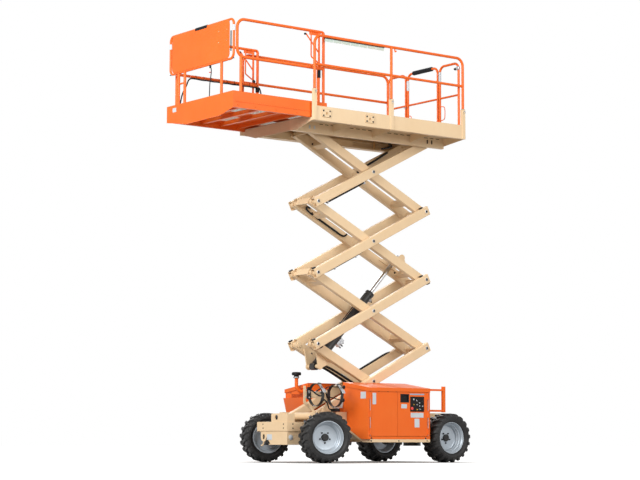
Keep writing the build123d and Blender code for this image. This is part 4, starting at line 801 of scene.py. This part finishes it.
# pad = (stage, along, above or below the arm)
pads = [
    (1, -0.020, 1), (2, -0.020, 1), (1, 0.050, -1), (1, arm_length - 0.045, 1), (2, arm_length - 0.045, 1),
    (1, arm_length + 0.028, -1),
]
for n, (stage, along, over) in enumerate(pads):
    mesh = bmesh.new()
    for side in (1, -1):
        place = arm_frame(stage, "outer", along, side * outer_y, over * (arm_half_depth + 0.0085))
        slab((-0.026, -0.009, -0.018), (0.026, 0.009, 0.018), mesh, place)
    fitted(f"bump_pad_{n + 1}", mesh, hose_rubber, f"outer_{stage + 1}", rounding=0.004)


def arm_run(name, stage, kind, y, stations, radius):
    """A hose clipped along an arm through (along, above) stations."""
    points = [on_arm(stage, kind, along, y, above) for along, above in stations]
    flexible(name, points, radius, f"{kind}_{stage + 1}")


# under the left outer arms of the upper stages
guide_above = -0.0775
run = [
    (0.13, -0.055), (0.14, -0.074), (0.17, guide_above), (0.5, guide_above), (0.80, guide_above),
    (0.87, -0.074), (0.90, -0.055),
]
arm_run("cable_guide", 3, "outer", outer_y, run, 0.0115)
mesh = bmesh.new()
for n in range(34):
    spot = on_arm(3, "outer", 0.19 + 0.0182 * n, outer_y, guide_above)
    rib = [(0.0112, -0.004), (0.0138, -0.003), (0.0138, 0.003), (0.0112, 0.004)]
    turned(rib, 16, facing_frame(spot, arm_slope(3, "outer"), up=(0, 1, 0)), mesh)
fitted("cable_guide_ribs", mesh, hose_rubber, "outer_4")
run = [(0.12, -0.058), (0.14, -0.070), (0.5, -0.071), (0.86, -0.070), (0.88, -0.058)]
arm_run("deck_cable", 2, "outer", outer_y, run, 0.0065)
# the loop of hose in its spiral wrap, inside the right arm of the third inner pair
inside_y = -inner_face_y + 0.016
run = [
    (1.93, 0.035), (1.98, 0.045), (1.99, -0.005), (1.93, -0.02), (1.80, -0.020), (1.45, -0.022),
    (1.28, -0.02), (1.24, 0.01), (1.23, 0.045),
]
arm_run("wrapped_hose", 2, "inner", inside_y, run, 0.0115)
mesh = bmesh.new()
for n in range(26):
    spot = on_arm(2, "inner", 1.33 + 0.0185 * n, inside_y, -0.0213)
    slope = arm_slope(2, "inner") + Vector((0, 0.35, 0))
    coil = [(0.0112, -0.0055), (0.0145, -0.004), (0.0145, 0.004), (0.0112, 0.0055)]
    turned(coil, 16, facing_frame(spot, slope, up=(0, 1, 0)), mesh)
fitted("spiral_wrap", mesh, hose_rubber, "inner_3")
# up the inside of the last right outer arm to the deck, along the first right outer arm, and from
# the cylinder's foot down under the first inner arms
rising_places = (-0.196, -0.172)
for n, y in enumerate(rising_places):
    run = [(1.10, -0.030), (1.16, 0.005), (1.3, 0.030), (1.5, 0.034), (1.66, 0.046), (1.78, 0.058)]
    arm_run(f"rising_hose_{n + 1}", 3, "outer", y, run, 0.0125)
run = [(1.09, 0.05), (1.12, 0.072), (1.3, 0.0755), (1.7, 0.0755), (1.86, 0.072), (1.90, 0.05)]
arm_run("base_hose", 0, "outer", -0.248, run, 0.0125)
for n, y in enumerate((0.060, -0.060)):
    run = [
        (1.80, -0.175), (1.76, -0.13), (1.66, -0.105), (1.45, -0.098), (1.2, -0.095), (1.0, -0.09),
        (0.9, -0.03),
    ]
    arm_run(f"foot_hose_{n + 1}", 0, "inner", y, run, 0.016)
# clips = (stage, their places along the arm, height over its centre line)
for stage, alongs, above in ((3, (0.16, 0.86), -0.076), (2, (0.30, 0.70), -0.067)):
    mesh = bmesh.new()
    for along in alongs:
        place = arm_frame(stage, "outer", along, outer_y, above)
        slab((-0.009, -0.022, -0.016), (0.009, 0.022, 0.016), mesh, place)
    fitted(f"hose_clips_outer_{stage + 1}", mesh, zinc_plate, f"outer_{stage + 1}", rounding=0.002)

# tie screws and blank stick-on plates on the inner faces of the inner arms
for stage in range(4):
    mesh = bmesh.new()
    for along in (0.245, arm_length - 0.245):
        for side in (1, -1):
            screw_heads([on_arm(stage, "inner", along, side * inner_face_y)], (0, -side, 0), 0.0085, mesh)
    fitted(f"inner_screws_{stage + 1}", mesh, gunmetal, f"inner_{stage + 1}")
for stage, along in ((0, 1.24), (2, 1.45)):
    place = arm_frame(stage, "inner", along, -inner_face_y, -0.012)
    mesh = rounded_plate(place, 0.11, 0.034, 0.004, 0.0012)
    fitted(f"arm_sticker_{stage + 1}", mesh, sticker_film, f"inner_{stage + 1}")

# ---- Lift cylinder fittings ---------------------------------------------------------------------
# The cylinder's rod is hard-chromed and ground; two steel pipes run along the top of its black
# barrel, and the load-holding valve is bolted under it, half a metre from the foot.
chrome, net = new_finish("hard_chrome")
place = node(net, "TexCoord").outputs["Object"]
film = noise(net, place, 9.0, 5.0)
scratches = {"Height": noise(net, place, 500.0, 2.0), "Strength": 0.04, "Distance": 0.0005}
feed(net, net.nodes["Principled BSDF"], {
    "Base Color": mixed(net, film, (0.62, 0.62, 0.63, 1), (0.44, 0.44, 0.45, 1)),
    "Roughness": ramp(net, film, 0.0, 1.0, 0.08, 0.24),
    "Normal": node(net, "Bump", scratches), "Metallic": 1.0,
})
coat_all(chrome, "rod_chrome")
barrel_foot = Vector(joint_of["lift_barrel"]["pos_m"])
rod_low, rod_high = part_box("lift_rod")
rod_eye = Vector((rod_low[0] + 0.05, 0, rod_high[2] - 0.05))
barrel_line = (rod_eye - barrel_foot).normalized()
barrel_side = Vector((0, 1, 0))
barrel_under = barrel_line.cross(barrel_side)
if barrel_under.z > 0:
    barrel_under = -barrel_under
by_barrel = Matrix((barrel_line, barrel_side, barrel_under)).transposed().to_4x4()
by_barrel.translation = barrel_foot
# along the barrel and under it, from its foot pin's axis; the pipes lie on the other side
for n, (left, reach) in enumerate(((0.020, 1.34), (-0.020, 1.10))):
    run = [
        (0.14, -0.050), (0.16, -0.072), (0.25, -0.073), (0.8, -0.073), (reach - 0.06, -0.073),
        (reach, -0.072), (reach + 0.01, -0.050),
    ]
    points = [by_barrel @ Vector((along, left, under)) for along, under in run]
    flexible(f"barrel_pipe_{n + 1}", points, 0.0068, "lift_barrel", black_enamel)
mesh = bmesh.new()
for along in (0.35, 0.75, 1.12):
    slab((along - 0.012, -0.036, -0.083), (along + 0.012, 0.036, -0.052), mesh, by_barrel)
fitted("barrel_clamps", mesh, gunmetal, "lift_barrel", rounding=0.003)
mesh = slab((0.47, -0.035, 0.050), (0.59, 0.035, 0.112), place=by_barrel)
slab((0.50, -0.045, 0.075), (0.55, 0.062, 0.102), mesh, by_barrel)
slab((1.30, -0.018, 0.050), (1.35, 0.018, 0.082), mesh, by_barrel)
fitted("holding_valve", mesh, zinc_plate, "lift_barrel", rounding=0.003)
mesh = bmesh.new()
for along, under, length in (
    (0.49, 0.112, 0.034), (0.53, 0.112, 0.044), (0.57, 0.112, 0.028), (1.325, 0.082, 0.024),
):
    form = [(0.014, 0), (0.014, length * 0.4), (0.0105, length * 0.45), (0.0105, length)]
    turned(form, 6, facing_frame(by_barrel @ Vector((along, 0, under)), barrel_under), mesh)
fitted("valve_cartridges", mesh, gunmetal, "lift_barrel")
gland = turned([(0.058, -0.014), (0.0655, -0.012), (0.0655, 0.012), (0.058, 0.014)])
gland_place = facing_frame(by_barrel @ Vector((1.385, 0, 0)), barrel_line, up=(0, 1, 0))
fitted("barrel_gland", gland, gunmetal, "lift_barrel", gland_place)

# ---- Main deck ----------------------------------------------------------------------------------
# Steel tread plate, painted cream below and worn on top; screws in the tie plates, painted shade in the tie
# holes and in the slotted webs under the floor, grommets and the cables that run beneath it.
tread_plate = enamel(
    "tread_plate", (0.62, 0.47, 0.30), faded=(0.68, 0.54, 0.37), grime=(0.24, 0.18, 0.11),
    bare=(0.4, 0.36, 0.3), roughness=0.55, wear=0.6, dust=0.2, sheen=0.2,
)
net = tread_plate.node_tree
place = node(net, "TexCoord").outputs["Object"]
raised = []
for angle in (45, -45):
    spin = (0, 0, radians(angle))
    slanted = node(net, "Mapping", {"Vector": place, "Rotation": spin, "Scale": (38.0, 14.0, 1.0)})
    cell = node(net, "VectorMath", {0: slanted}, operation="FRACTION")
    centred = node(net, "VectorMath", {0: cell, 1: (0.5, 0.5, 0.0)}, operation="SUBTRACT")
    flat = node(net, "VectorMath", {0: centred, 1: (1.0, 1.0, 0.0)}, operation="MULTIPLY")
    reach = node(net, "VectorMath", {0: flat}, operation="LENGTH")
    raised.append(ramp(net, reach, 0.40, 0.25))
height = node(net, "Math", {0: raised[0], 1: raised[1]}, operation="MAXIMUM")
bars = node(net, "Bump", {"Height": height, "Strength": 0.6, "Distance": 0.003})
feed(net, net.nodes["Principled BSDF"], {"Normal": bars})
coat_all(tread_plate, "deck_plate")

# painted shade: a near-black brown for the shaded insides of the tie holes and of the webs' slots
web_painted_shade = enamel(
    "web_painted_shade", (0.045, 0.03, 0.018), faded=(0.06, 0.04, 0.025), grime=(0.03, 0.02, 0.012),
    bare=(0.1, 0.08, 0.05), roughness=0.7, wear=0.1,
)
# a brownish band round the tie plates' edges
brown_plate_edging = enamel(
    "brown_plate_edging", (0.45, 0.24, 0.09), faded=(0.58, 0.36, 0.17), grime=(0.22, 0.12, 0.05),
    bare=(0.4, 0.3, 0.2), roughness=0.7, wear=0.4, runs=0.4,
)
tie_low, tie_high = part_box("tie_plates")
tie_z = (tie_low[2] + tie_high[2]) / 2
tie_half_length = 0.074
channel_y = 0.830  # outer face of the deck's side channels
rings, edgings, hole_shades, tie_screws = [bmesh.new() for _ in range(4)]
for side in (1, -1):
    outward = (0, side, 0)
    for x in (tie_low[0] + tie_half_length, tie_high[0] - tie_half_length):
        corners = [(x + i * 0.052, side * tie_high[1], tie_z + k * 0.032) for i in (1, -1) for k in (1, -1)]
        screw_heads(corners, outward, 0.0075, tie_screws)
        ring = [(0.0165, 0.0), (0.0165, 0.0025), (0.0225, 0.0025), (0.0245, 0.0)]
        turned(ring, 32, facing_frame((x, side * tie_high[1], tie_z), outward), rings, "joined")
        # a brown plate a little larger than each tie plate, seen as a band round its edge
        place = facing_frame((x, side * (channel_y + 0.0002), tie_z), outward)
        rounded_plate(place, 0.106, 0.154, 0.006, 0.0028, edgings)
        # painted shade: a dark wall inside each tie hole
        place = facing_frame((x, side * channel_y, tie_z), outward)
        wall = [(0.0238, -0.0105), (0.0238, 0.0055), (0.0232, 0.0055), (0.0232, -0.0100)]
        turned(wall, 28, place, hole_shades, "joined")
        turned([(0.0235, -0.0110), (0.0235, -0.0095)], 28, place, hole_shades)
fitted("tie_plate_rings", rings, cream_enamel, "deck")
fitted("tie_plate_edgings", edgings, brown_plate_edging, "deck")
fitted("tie_hole_painted_shade", hole_shades, web_painted_shade, "deck")
fitted("tie_plate_screws", tie_screws, gunmetal, "deck")

# painted shade for the slots in the beams' webs and for pairs of oval cable holes near their ends: thin dark
# plates on the web faces
beam_face_y = 0.3725
slot_shades = bmesh.new()
for side in (1, -1):
    for start, end, count in ((0.30, 0.02, 3), (-0.21, -0.63, 4), (-0.86, -1.32, 4), (-1.52, -1.84, 3)):
        pitch = (start - end) / count
        for n in range(count):
            spot = (start - pitch * (n + 0.5), side * beam_face_y, 4.470)
            rounded_plate(facing_frame(spot, (0, side, 0)), 0.008, pitch * 0.62, 0.0035, 0.0006, slot_shades)
    for x in (-1.60, -1.68):
        place = facing_frame((x, side * beam_face_y, 4.418), (0, side, 0))
        rounded_plate(place, 0.060, 0.026, 0.0125, 0.0006, slot_shades)
fitted("web_slot_painted_shade", slot_shades, web_painted_shade, "deck")
grommets = bmesh.new()
for side in (1, -1):
    for x in (0.444, 0.364):
        place = facing_frame((x, side * beam_face_y, 4.417), (0, side, 0))
        rounded_plate(place, 0.052, 0.024, 0.0118, 0.0008, grommets)
fitted("beam_grommets", grommets, sticker_film, "deck")
# cables under the deck: along the right beam, drooping a little between clips, and the bundle that
# comes off the last outer arm
droop = [(0.60, -0.385, 4.374)]
for n in range(6):
    droop.append((0.45 - 0.27 * n, -0.392, 4.364 if n % 2 else 4.376))
droop.append((-1.10, -0.385, 4.378))
flexible("under_deck_cable", droop, 0.0085, "deck")
bundle = [
    (0.58, -0.388, 4.392), (0.42, -0.392, 4.372), (0.20, -0.402, 4.366), (0.0, -0.402, 4.368),
    (-0.16, -0.388, 4.398),
]
flexible("under_deck_bundle", bundle, 0.012, "deck")
for n, y in enumerate(rising_places):
    points = [
        (-1.24, y, 4.352), (-1.33, y, 4.372), (-1.42, y - 0.02, 4.398), (-1.46, y - 0.07, 4.43),
        (-1.47, y - 0.115, 4.455),
    ]
    flexible(f"deck_hose_{n + 1}", points, 0.0125, "deck")
mesh = slab((-1.215, -0.3115, 4.466), (-1.185, -0.150, 4.482))
slab((-1.215, -0.3115, 4.352), (-1.185, -0.298, 4.466), mesh)
fitted("hose_bracket", mesh, brass, "deck", rounding=0.002)
mesh = bmesh.new()
outrigger_y = 0.7905
for side in (1, -1):
    spots = [(x, side * outrigger_y, 4.4585) for x in (0.45, 0.05, -0.45, -0.95, -1.45)]
    screw_heads(spots, (0, side, 0), 0.006, mesh)
fitted("outrigger_screws", mesh, gunmetal, "deck")

# ---- Deck rails, gate and grips -----------------------------------------------------------------
# Fittings on the orange rails: spring pins at the sockets, a black drip bar with a pale sign strip,
# a hook, foam grips, white reflective bands and wire handles.
foam = enamel(
    "foam_grip", (0.009, 0.011, 0.014), faded=(0.016, 0.018, 0.022), grime=(0.05, 0.045, 0.04),
    bare=(0.05, 0.05, 0.05), roughness=0.75, wear=0.1, dust=0.08, sheen=0.2,
)
pale_film = enamel(
    "pale_film", (0.46, 0.60, 0.55), faded=(0.60, 0.60, 0.50), grime=(0.5, 0.5, 0.46), bare=(0.8, 0.8, 0.8),
    roughness=0.35, coat=0.3, wear=0.1, dust=0.05,
)


def sleeve(name, start, end, inner, outer, finish, body, steps=28):
    """A round sleeve on a tube between two points, its ends softened."""
    start, end = Vector(start), Vector(end)
    length = (end - start).length
    round_end = min(0.004, (outer - inner) / 2)
    form = [
        (inner, 0.0), (outer - round_end, 0.0), (outer, round_end), (outer, length - round_end),
        (outer - round_end, length), (inner, length),
    ]
    up = (1, 0, 0) if abs((end - start).normalized().x) < 0.9 else (0, 0, 1)
    place = facing_frame(start, end - start, up=up)
    fitted(name, turned(form, steps, ends="joined"), finish, body, place=place)


rail_low, rail_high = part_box("left_rail")
rail_y = (rail_low[1] + rail_high[1]) / 2
rail_top = rail_high[2] - 0.019
socket_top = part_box("deck_sides")[1][2]
front_post, rear_post = 0.701, -1.8672
spring_pin = [(0.006, -0.038), (0.006, 0.034), (0.010, 0.036), (0.010, 0.044)]
pull_ring = [(0.0150, -0.0016), (0.0182, -0.0016), (0.0182, 0.0016), (0.0150, 0.0016)]
collar = [(0.0193, 0.0), (0.0215, 0.0), (0.0215, 0.006), (0.0193, 0.008)]
for side, hand in ((1, "left"), (-1, "right")):
    pins = bmesh.new()
    collars = bmesh.new()
    y = side * rail_y
    for x in (front_post, (front_post + rear_post) / 2, rear_post):
        turned(spring_pin, 14, facing_frame((x, y, socket_top - 0.030), (0, side, 0)), pins)
        spot = (x + 0.004, y + side * 0.045, socket_top - 0.046)
        turned(pull_ring, 24, facing_frame(spot, (1, 0, 0)), pins, "joined")
        turned(collar, 28, Matrix.Translation((x, y, socket_top - 0.001)), collars, "joined")
    fitted(f"{hand}_socket_pins", pins, zinc_plate, "deck")
    fitted(f"{hand}_socket_collars", collars, gunmetal, "deck")

# drip bar and sign strip, hung under the left top rail
bar_front, bar_rear = 0.540, -0.468
mesh = slab((bar_rear, rail_y - 0.006, rail_top - 0.030), (bar_front, rail_y + 0.006, rail_top - 0.017))
fitted("drip_bar", mesh, hose_rubber, "deck", rounding=0.002)
mesh = bmesh.new()
panel_count = 7
panel_length = (bar_front - bar_rear) / panel_count
for n in range(panel_count):
    spot = (bar_front - panel_length * (n + 0.5), rail_y + 0.0005, rail_top - 0.048)
    rounded_plate(facing_frame(spot, (0, 1, 0)), 0.040, panel_length * 0.93, 0.006, 0.0022, mesh)
fitted("sign_strip", mesh, pale_film, "deck")
hook = [
    (-0.648, rail_y, rail_top - 0.012), (-0.648, rail_y + 0.004, rail_top - 0.05),
    (-0.650, rail_y + 0.02, rail_top - 0.062), (-0.655, rail_y + 0.03, rail_top - 0.045),
]
flexible("rail_hook", hook, 0.0085, "deck", orange_enamel)

# entry: foam grip on the gate, bands on its posts, wire handles, and a round lock
gate_low, gate_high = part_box("gate")
gate_x = (gate_low[0] + gate_high[0]) / 2
gate_top = gate_high[2] - 0.017
latch_post, hinge_post = -0.325, 0.370
sleeve("gate_grip", (gate_x, -0.200, gate_top), (gate_x, 0.205, gate_top), 0.0173, 0.031, foam, "gate")
for name, y, z0, z1, body in (
    ("gate_band_right", latch_post, 5.262, 5.405, "gate"),
    ("gate_band_left", hinge_post, 5.290, 5.425, "deck"),
):
    sleeve(name, (gate_x, y, z0), (gate_x, y, z1), 0.0172, 0.0186, sticker_film, body)
for name, y, away, z0, z1, body in (
    ("left_wire_handle", hinge_post, 0.105, 4.735, 4.935, "deck"),
    ("right_wire_handle", latch_post, 0.075, 4.745, 4.900, "gate"),
):
    points = [
        (gate_x, y + 0.012, z1), (gate_x, y + away * 0.75, z1 - 0.004), (gate_x, y + away, z1 - 0.03),
        (gate_x, y + away, z0 + 0.03), (gate_x, y + away * 0.75, z0 + 0.004), (gate_x, y + 0.012, z0),
    ]
    flexible(name, points, 0.006, body, orange_enamel)
clamp = turned([(0.030, -0.012), (0.030, 0.012), (0.024, 0.016), (0.010, 0.017)], 32)
place = facing_frame((gate_x + 0.012, 0.765, 5.422), (1, 0, 0))
fitted("rear_post_clamp", clamp, zinc_plate, "deck", place=place)
mesh = slab((gate_x - 0.008, 0.700, 5.402), (gate_x + 0.008, 0.750, 5.440))
place = facing_frame((gate_x, 0.70, 5.422), (0, -1, 0))
turned([(0.013, 0), (0.015, 0.006), (0.015, 0.02), (0.011, 0.026)], 20, place, mesh)
fitted("rear_post_knob", mesh, hose_rubber, "deck", rounding=0.002)
mesh = slab((gate_x - 0.012, 0.335, 4.640), (gate_x + 0.012, 0.356, 4.665))
place = facing_frame((gate_x, -0.347, 5.02), (1, 0, 0))
turned([(0.007, -0.03), (0.007, 0.05), (0.011, 0.052), (0.011, 0.062)], 14, place, mesh)
fitted("gate_latch", mesh, zinc_plate, "deck", rounding=0.001)

# ---- Roll-out deck ------------------------------------------------------------------------------
# Its floor is sheet steel with panels of open mesh; the rails carry foam grips, a black strip of painted shade
# in the gap by the guard's near tube, white bands, the far rail's cable and the lead that comes up from the
# plug.
floor_low, floor_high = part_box("extension_floor")
mesh = bmesh.new()
# mesh panel = (rear end, front end, right edge, left edge)
panels = [
    (0.51, 0.72, 0.04, 0.36), (1.09, 1.32, 0.04, 0.38), (1.40, 1.63, 0.04, 0.41),
    (0.49, 0.72, -0.61, -0.25), (1.09, 1.32, -0.61, -0.25), (1.40, 1.63, -0.61, -0.25),
]
cuts_x = sorted({floor_low[0], floor_high[0]} | {v for p in panels for v in p[:2]})
cuts_y = sorted({floor_low[1], floor_high[1]} | {v for p in panels for v in p[2:]})
corner = {}
levels = (floor_low[2], floor_high[2])


def corner_at(i, j, k):
    """The floor sheet's shared corner at these cuts."""
    if (i, j, k) not in corner:
        corner[i, j, k] = mesh.verts.new((cuts_x[i], cuts_y[j], levels[k]))
    return corner[i, j, k]


def solid_cell(i, j):
    """Whether this cell between the cuts is sheet, and not open mesh."""
    if not (0 <= i < len(cuts_x) - 1 and 0 <= j < len(cuts_y) - 1):
        return False
    x = (cuts_x[i] + cuts_x[i + 1]) / 2
    y = (cuts_y[j] + cuts_y[j + 1]) / 2
    return not any(x0 < x < x1 and y0 < y < y1 for x0, x1, y0, y1 in panels)


for i in range(len(cuts_x) - 1):
    for j in range(len(cuts_y) - 1):
        if not solid_cell(i, j):
            continue
        ring = [(i, j), (i + 1, j), (i + 1, j + 1), (i, j + 1)]
        mesh.faces.new([corner_at(a, b, 1) for a, b in ring])
        mesh.faces.new([corner_at(a, b, 0) for a, b in ring[::-1]])
        for n, (di, dj) in enumerate(((0, -1), (1, 0), (0, 1), (-1, 0))):
            if not solid_cell(i + di, j + dj):
                (a, b), (c, d) = ring[n], ring[(n + 1) % 4]
                edge = ((a, b, 0), (c, d, 0), (c, d, 1), (a, b, 1))
                mesh.faces.new([corner_at(*cut) for cut in edge])
sheet_floor = fitted("roll_out_floor", mesh, orange_enamel, "extension")
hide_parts("extension_floor")
mesh = bmesh.new()
pitch = 0.021
wire = 0.0022  # half a wire's width
lap = 0.004  # how far the wires run under the sheet
middle_z = (floor_low[2] + floor_high[2]) / 2
for x0, x1, y0, y1 in panels:
    count = int((x1 - x0) / pitch) + 1
    for n in range(1, count):
        x = x0 + n * (x1 - x0) / count
        slab((x - wire, y0 - lap, middle_z - 0.002), (x + wire, y1 + lap, middle_z), mesh)
    count = int((y1 - y0) / pitch) + 1
    for n in range(1, count):
        y = y0 + n * (y1 - y0) / count
        slab((x0 - lap, y - wire, middle_z), (x1 + lap, y + wire, middle_z + 0.002), mesh)
fitted("floor_mesh", mesh, pale_film, "extension")
plug = turned([(0.028, 0), (0.028, 0.006), (0.022, 0.009), (0.008, 0.010)], 32)
place = facing_frame((0.80, -0.43, 4.551), (0, 0, -1), up=(1, 0, 0))
fitted("underside_plug", plug, stop_red, "extension", place=place)

guard_low, guard_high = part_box("front_guard")
tube_x = guard_low[0] + 0.019
grip_z = guard_high[2] - 0.021
guard_y = 0.735
side_rail_y = 0.745
sleeve("guard_grip", (tube_x, -0.124, grip_z), (tube_x, 0.145, grip_z), 0.0163, 0.0258, foam, "extension")
for name, y, z in (("right_guard_band", -guard_y, 5.479), ("left_guard_band", guard_y, 5.490)):
    sleeve(name, (tube_x, y, z - 0.036), (tube_x, y, z + 0.036), 0.0163, 0.0195, sticker_film, "extension")
# painted shade: a black strip standing in the dark gap beside the guard's near tube
mesh = slab((tube_x + 0.004, 0.676, 5.196), (tube_x + 0.012, 0.692, 5.460))
fitted("guard_gap_painted_shade", mesh, hose_rubber, "extension", rounding=0.002)
panel_x = guard_high[0] - 0.0005
spots = [(panel_x, y, z) for y, z in ((0.42, 5.488), (0.602, 5.488), (0.42, 5.343), (0.602, 5.349))]
fitted("panel_screws", screw_heads(spots, (1, 0, 0), 0.0065), brass, "extension")
mesh = bmesh.new()
for side in (-1, 1):
    place = Matrix.Translation((tube_x, side * side_rail_y * 0.98, guard_low[2] + 0.535))
    turned([(0.013, 0), (0.013, 0.006), (0.009, 0.009)], 20, place, mesh)
fitted("guard_feet", mesh, hose_rubber, "extension")
fascia_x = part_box("extension_frame")[1][0]
mesh = rounded_plate(facing_frame((fascia_x, -0.587, 4.610), (1, 0, 0)), 0.056, 0.088, 0.005, 0.0005)
fitted("fascia_sticker", mesh, sticker_film, "extension")
# the lead up to the guard, with its boot and clips: (y, z) along the tube
lead = [
    (0.205, 5.106), (0.212, 5.07), (0.236, 5.02), (0.222, 4.94), (0.200, 4.86), (0.194, 4.76), (0.192, 4.668),
]
flexible("guard_lead", [(tube_x, y, z) for y, z in lead], 0.0062, "extension")
boot = ((tube_x, 0.208, 5.050), (tube_x, 0.207, 5.108))
sleeve("guard_lead_boot", *boot, 0.004, 0.0135, foam, "extension", steps=20)
mesh = slab((tube_x - 0.010, 0.190, 4.990), (tube_x + 0.010, 0.216, 5.000))
slab((tube_x - 0.010, 0.190, 5.100), (tube_x + 0.010, 0.225, 5.112), mesh)
fitted("guard_lead_clips", mesh, stop_red, "extension", rounding=0.001)
# the cable along the far rail, sagging a little between its ties: (x, how far inboard, z)
run = [
    (1.768, 0, 4.684), (1.757, 0, 4.76), (1.727, 0, 4.881), (1.664, 0, 4.989), (1.640, 0.010, 5.075),
    (1.600, 0.018, 5.098),
]
for n in range(13):
    run.append((1.50 - 0.083 * n, 0.018, 5.097 - 0.006 * (n % 2)))
run += [(0.49, 0.03, 5.092), (0.470, 0.04, 5.02), (0.467, 0.04, 4.85), (0.475, 0.035, 4.676)]
flexible("far_rail_cable", [(x, over - side_rail_y, z) for x, over, z in run], 0.0095, "extension")
mesh = bmesh.new()
for n in range(9):
    place = facing_frame((1.52 - 0.125 * n, -side_rail_y, 5.1248), (1, 0, 0))
    turned([(0.0195, -0.003), (0.0215, -0.003), (0.0215, 0.003), (0.0195, 0.003)], 24, place, mesh, "joined")
fitted("cable_ties", mesh, hose_rubber, "extension")
rear_post_x = floor_low[0] + 0.041
# grip = (name, x, y, its ends' heights, radius of the tube)
for name, x, y, z0, z1, inner in (
    ("right_post_grip", rear_post_x, -side_rail_y, 5.032, 5.102, 0.0192),
    ("left_post_grip", rear_post_x + 0.073, side_rail_y, 5.000, 5.104, 0.0142),
):
    sleeve(name, (x, y, z0), (x, y, z1), inner, inner + 0.008, foam, "extension")
knob = [(0.006, -0.030), (0.006, 0.0), (0.022, 0.002), (0.024, 0.010), (0.018, 0.016)]
place = facing_frame((0.585, -0.722, 5.172), (0, 1, 0.25))
fitted("release_knob", turned(knob, 24), hose_rubber, "extension", place=place)
mesh = slab((0.578, -0.742, 5.112), (0.592, -0.722, 5.172))
fitted("release_lever", mesh, orange_enamel, "extension", rounding=0.001)
for side, hand in ((1, "left"), (-1, "right")):
    y = side * side_rail_y
    mesh = slab((0.560, y - 0.003, 5.556), (0.735, y + 0.003, 5.597))
    fitted(f"{hand}_corner_web", mesh, orange_enamel, "extension")
    cap = turned([(0.0095, 0), (0.0135, 0.002), (0.0135, 0.02), (0.008, 0.024)], 18)
    fitted(f"{hand}_brace_cap", cap, foam, "extension", place=facing_frame((0.793, y, 5.560), (1, 0, -0.2)))
lips = bmesh.new()
screws = bmesh.new()
for side in (1, -1):
    slab((0.468, side * 0.7695, 4.538), (1.944, side * 0.7745, 4.552), lips)
    spots = [(x, side * 0.770, 4.500) for x in (0.62, 0.95, 1.28, 1.61, 1.88)]
    screw_heads(spots, (0, side, 0), 0.007, screws)
fitted("toe_board_lips", lips, orange_enamel, "extension", rounding=0.0015)
fitted("runner_screws", screws, orange_enamel, "extension")
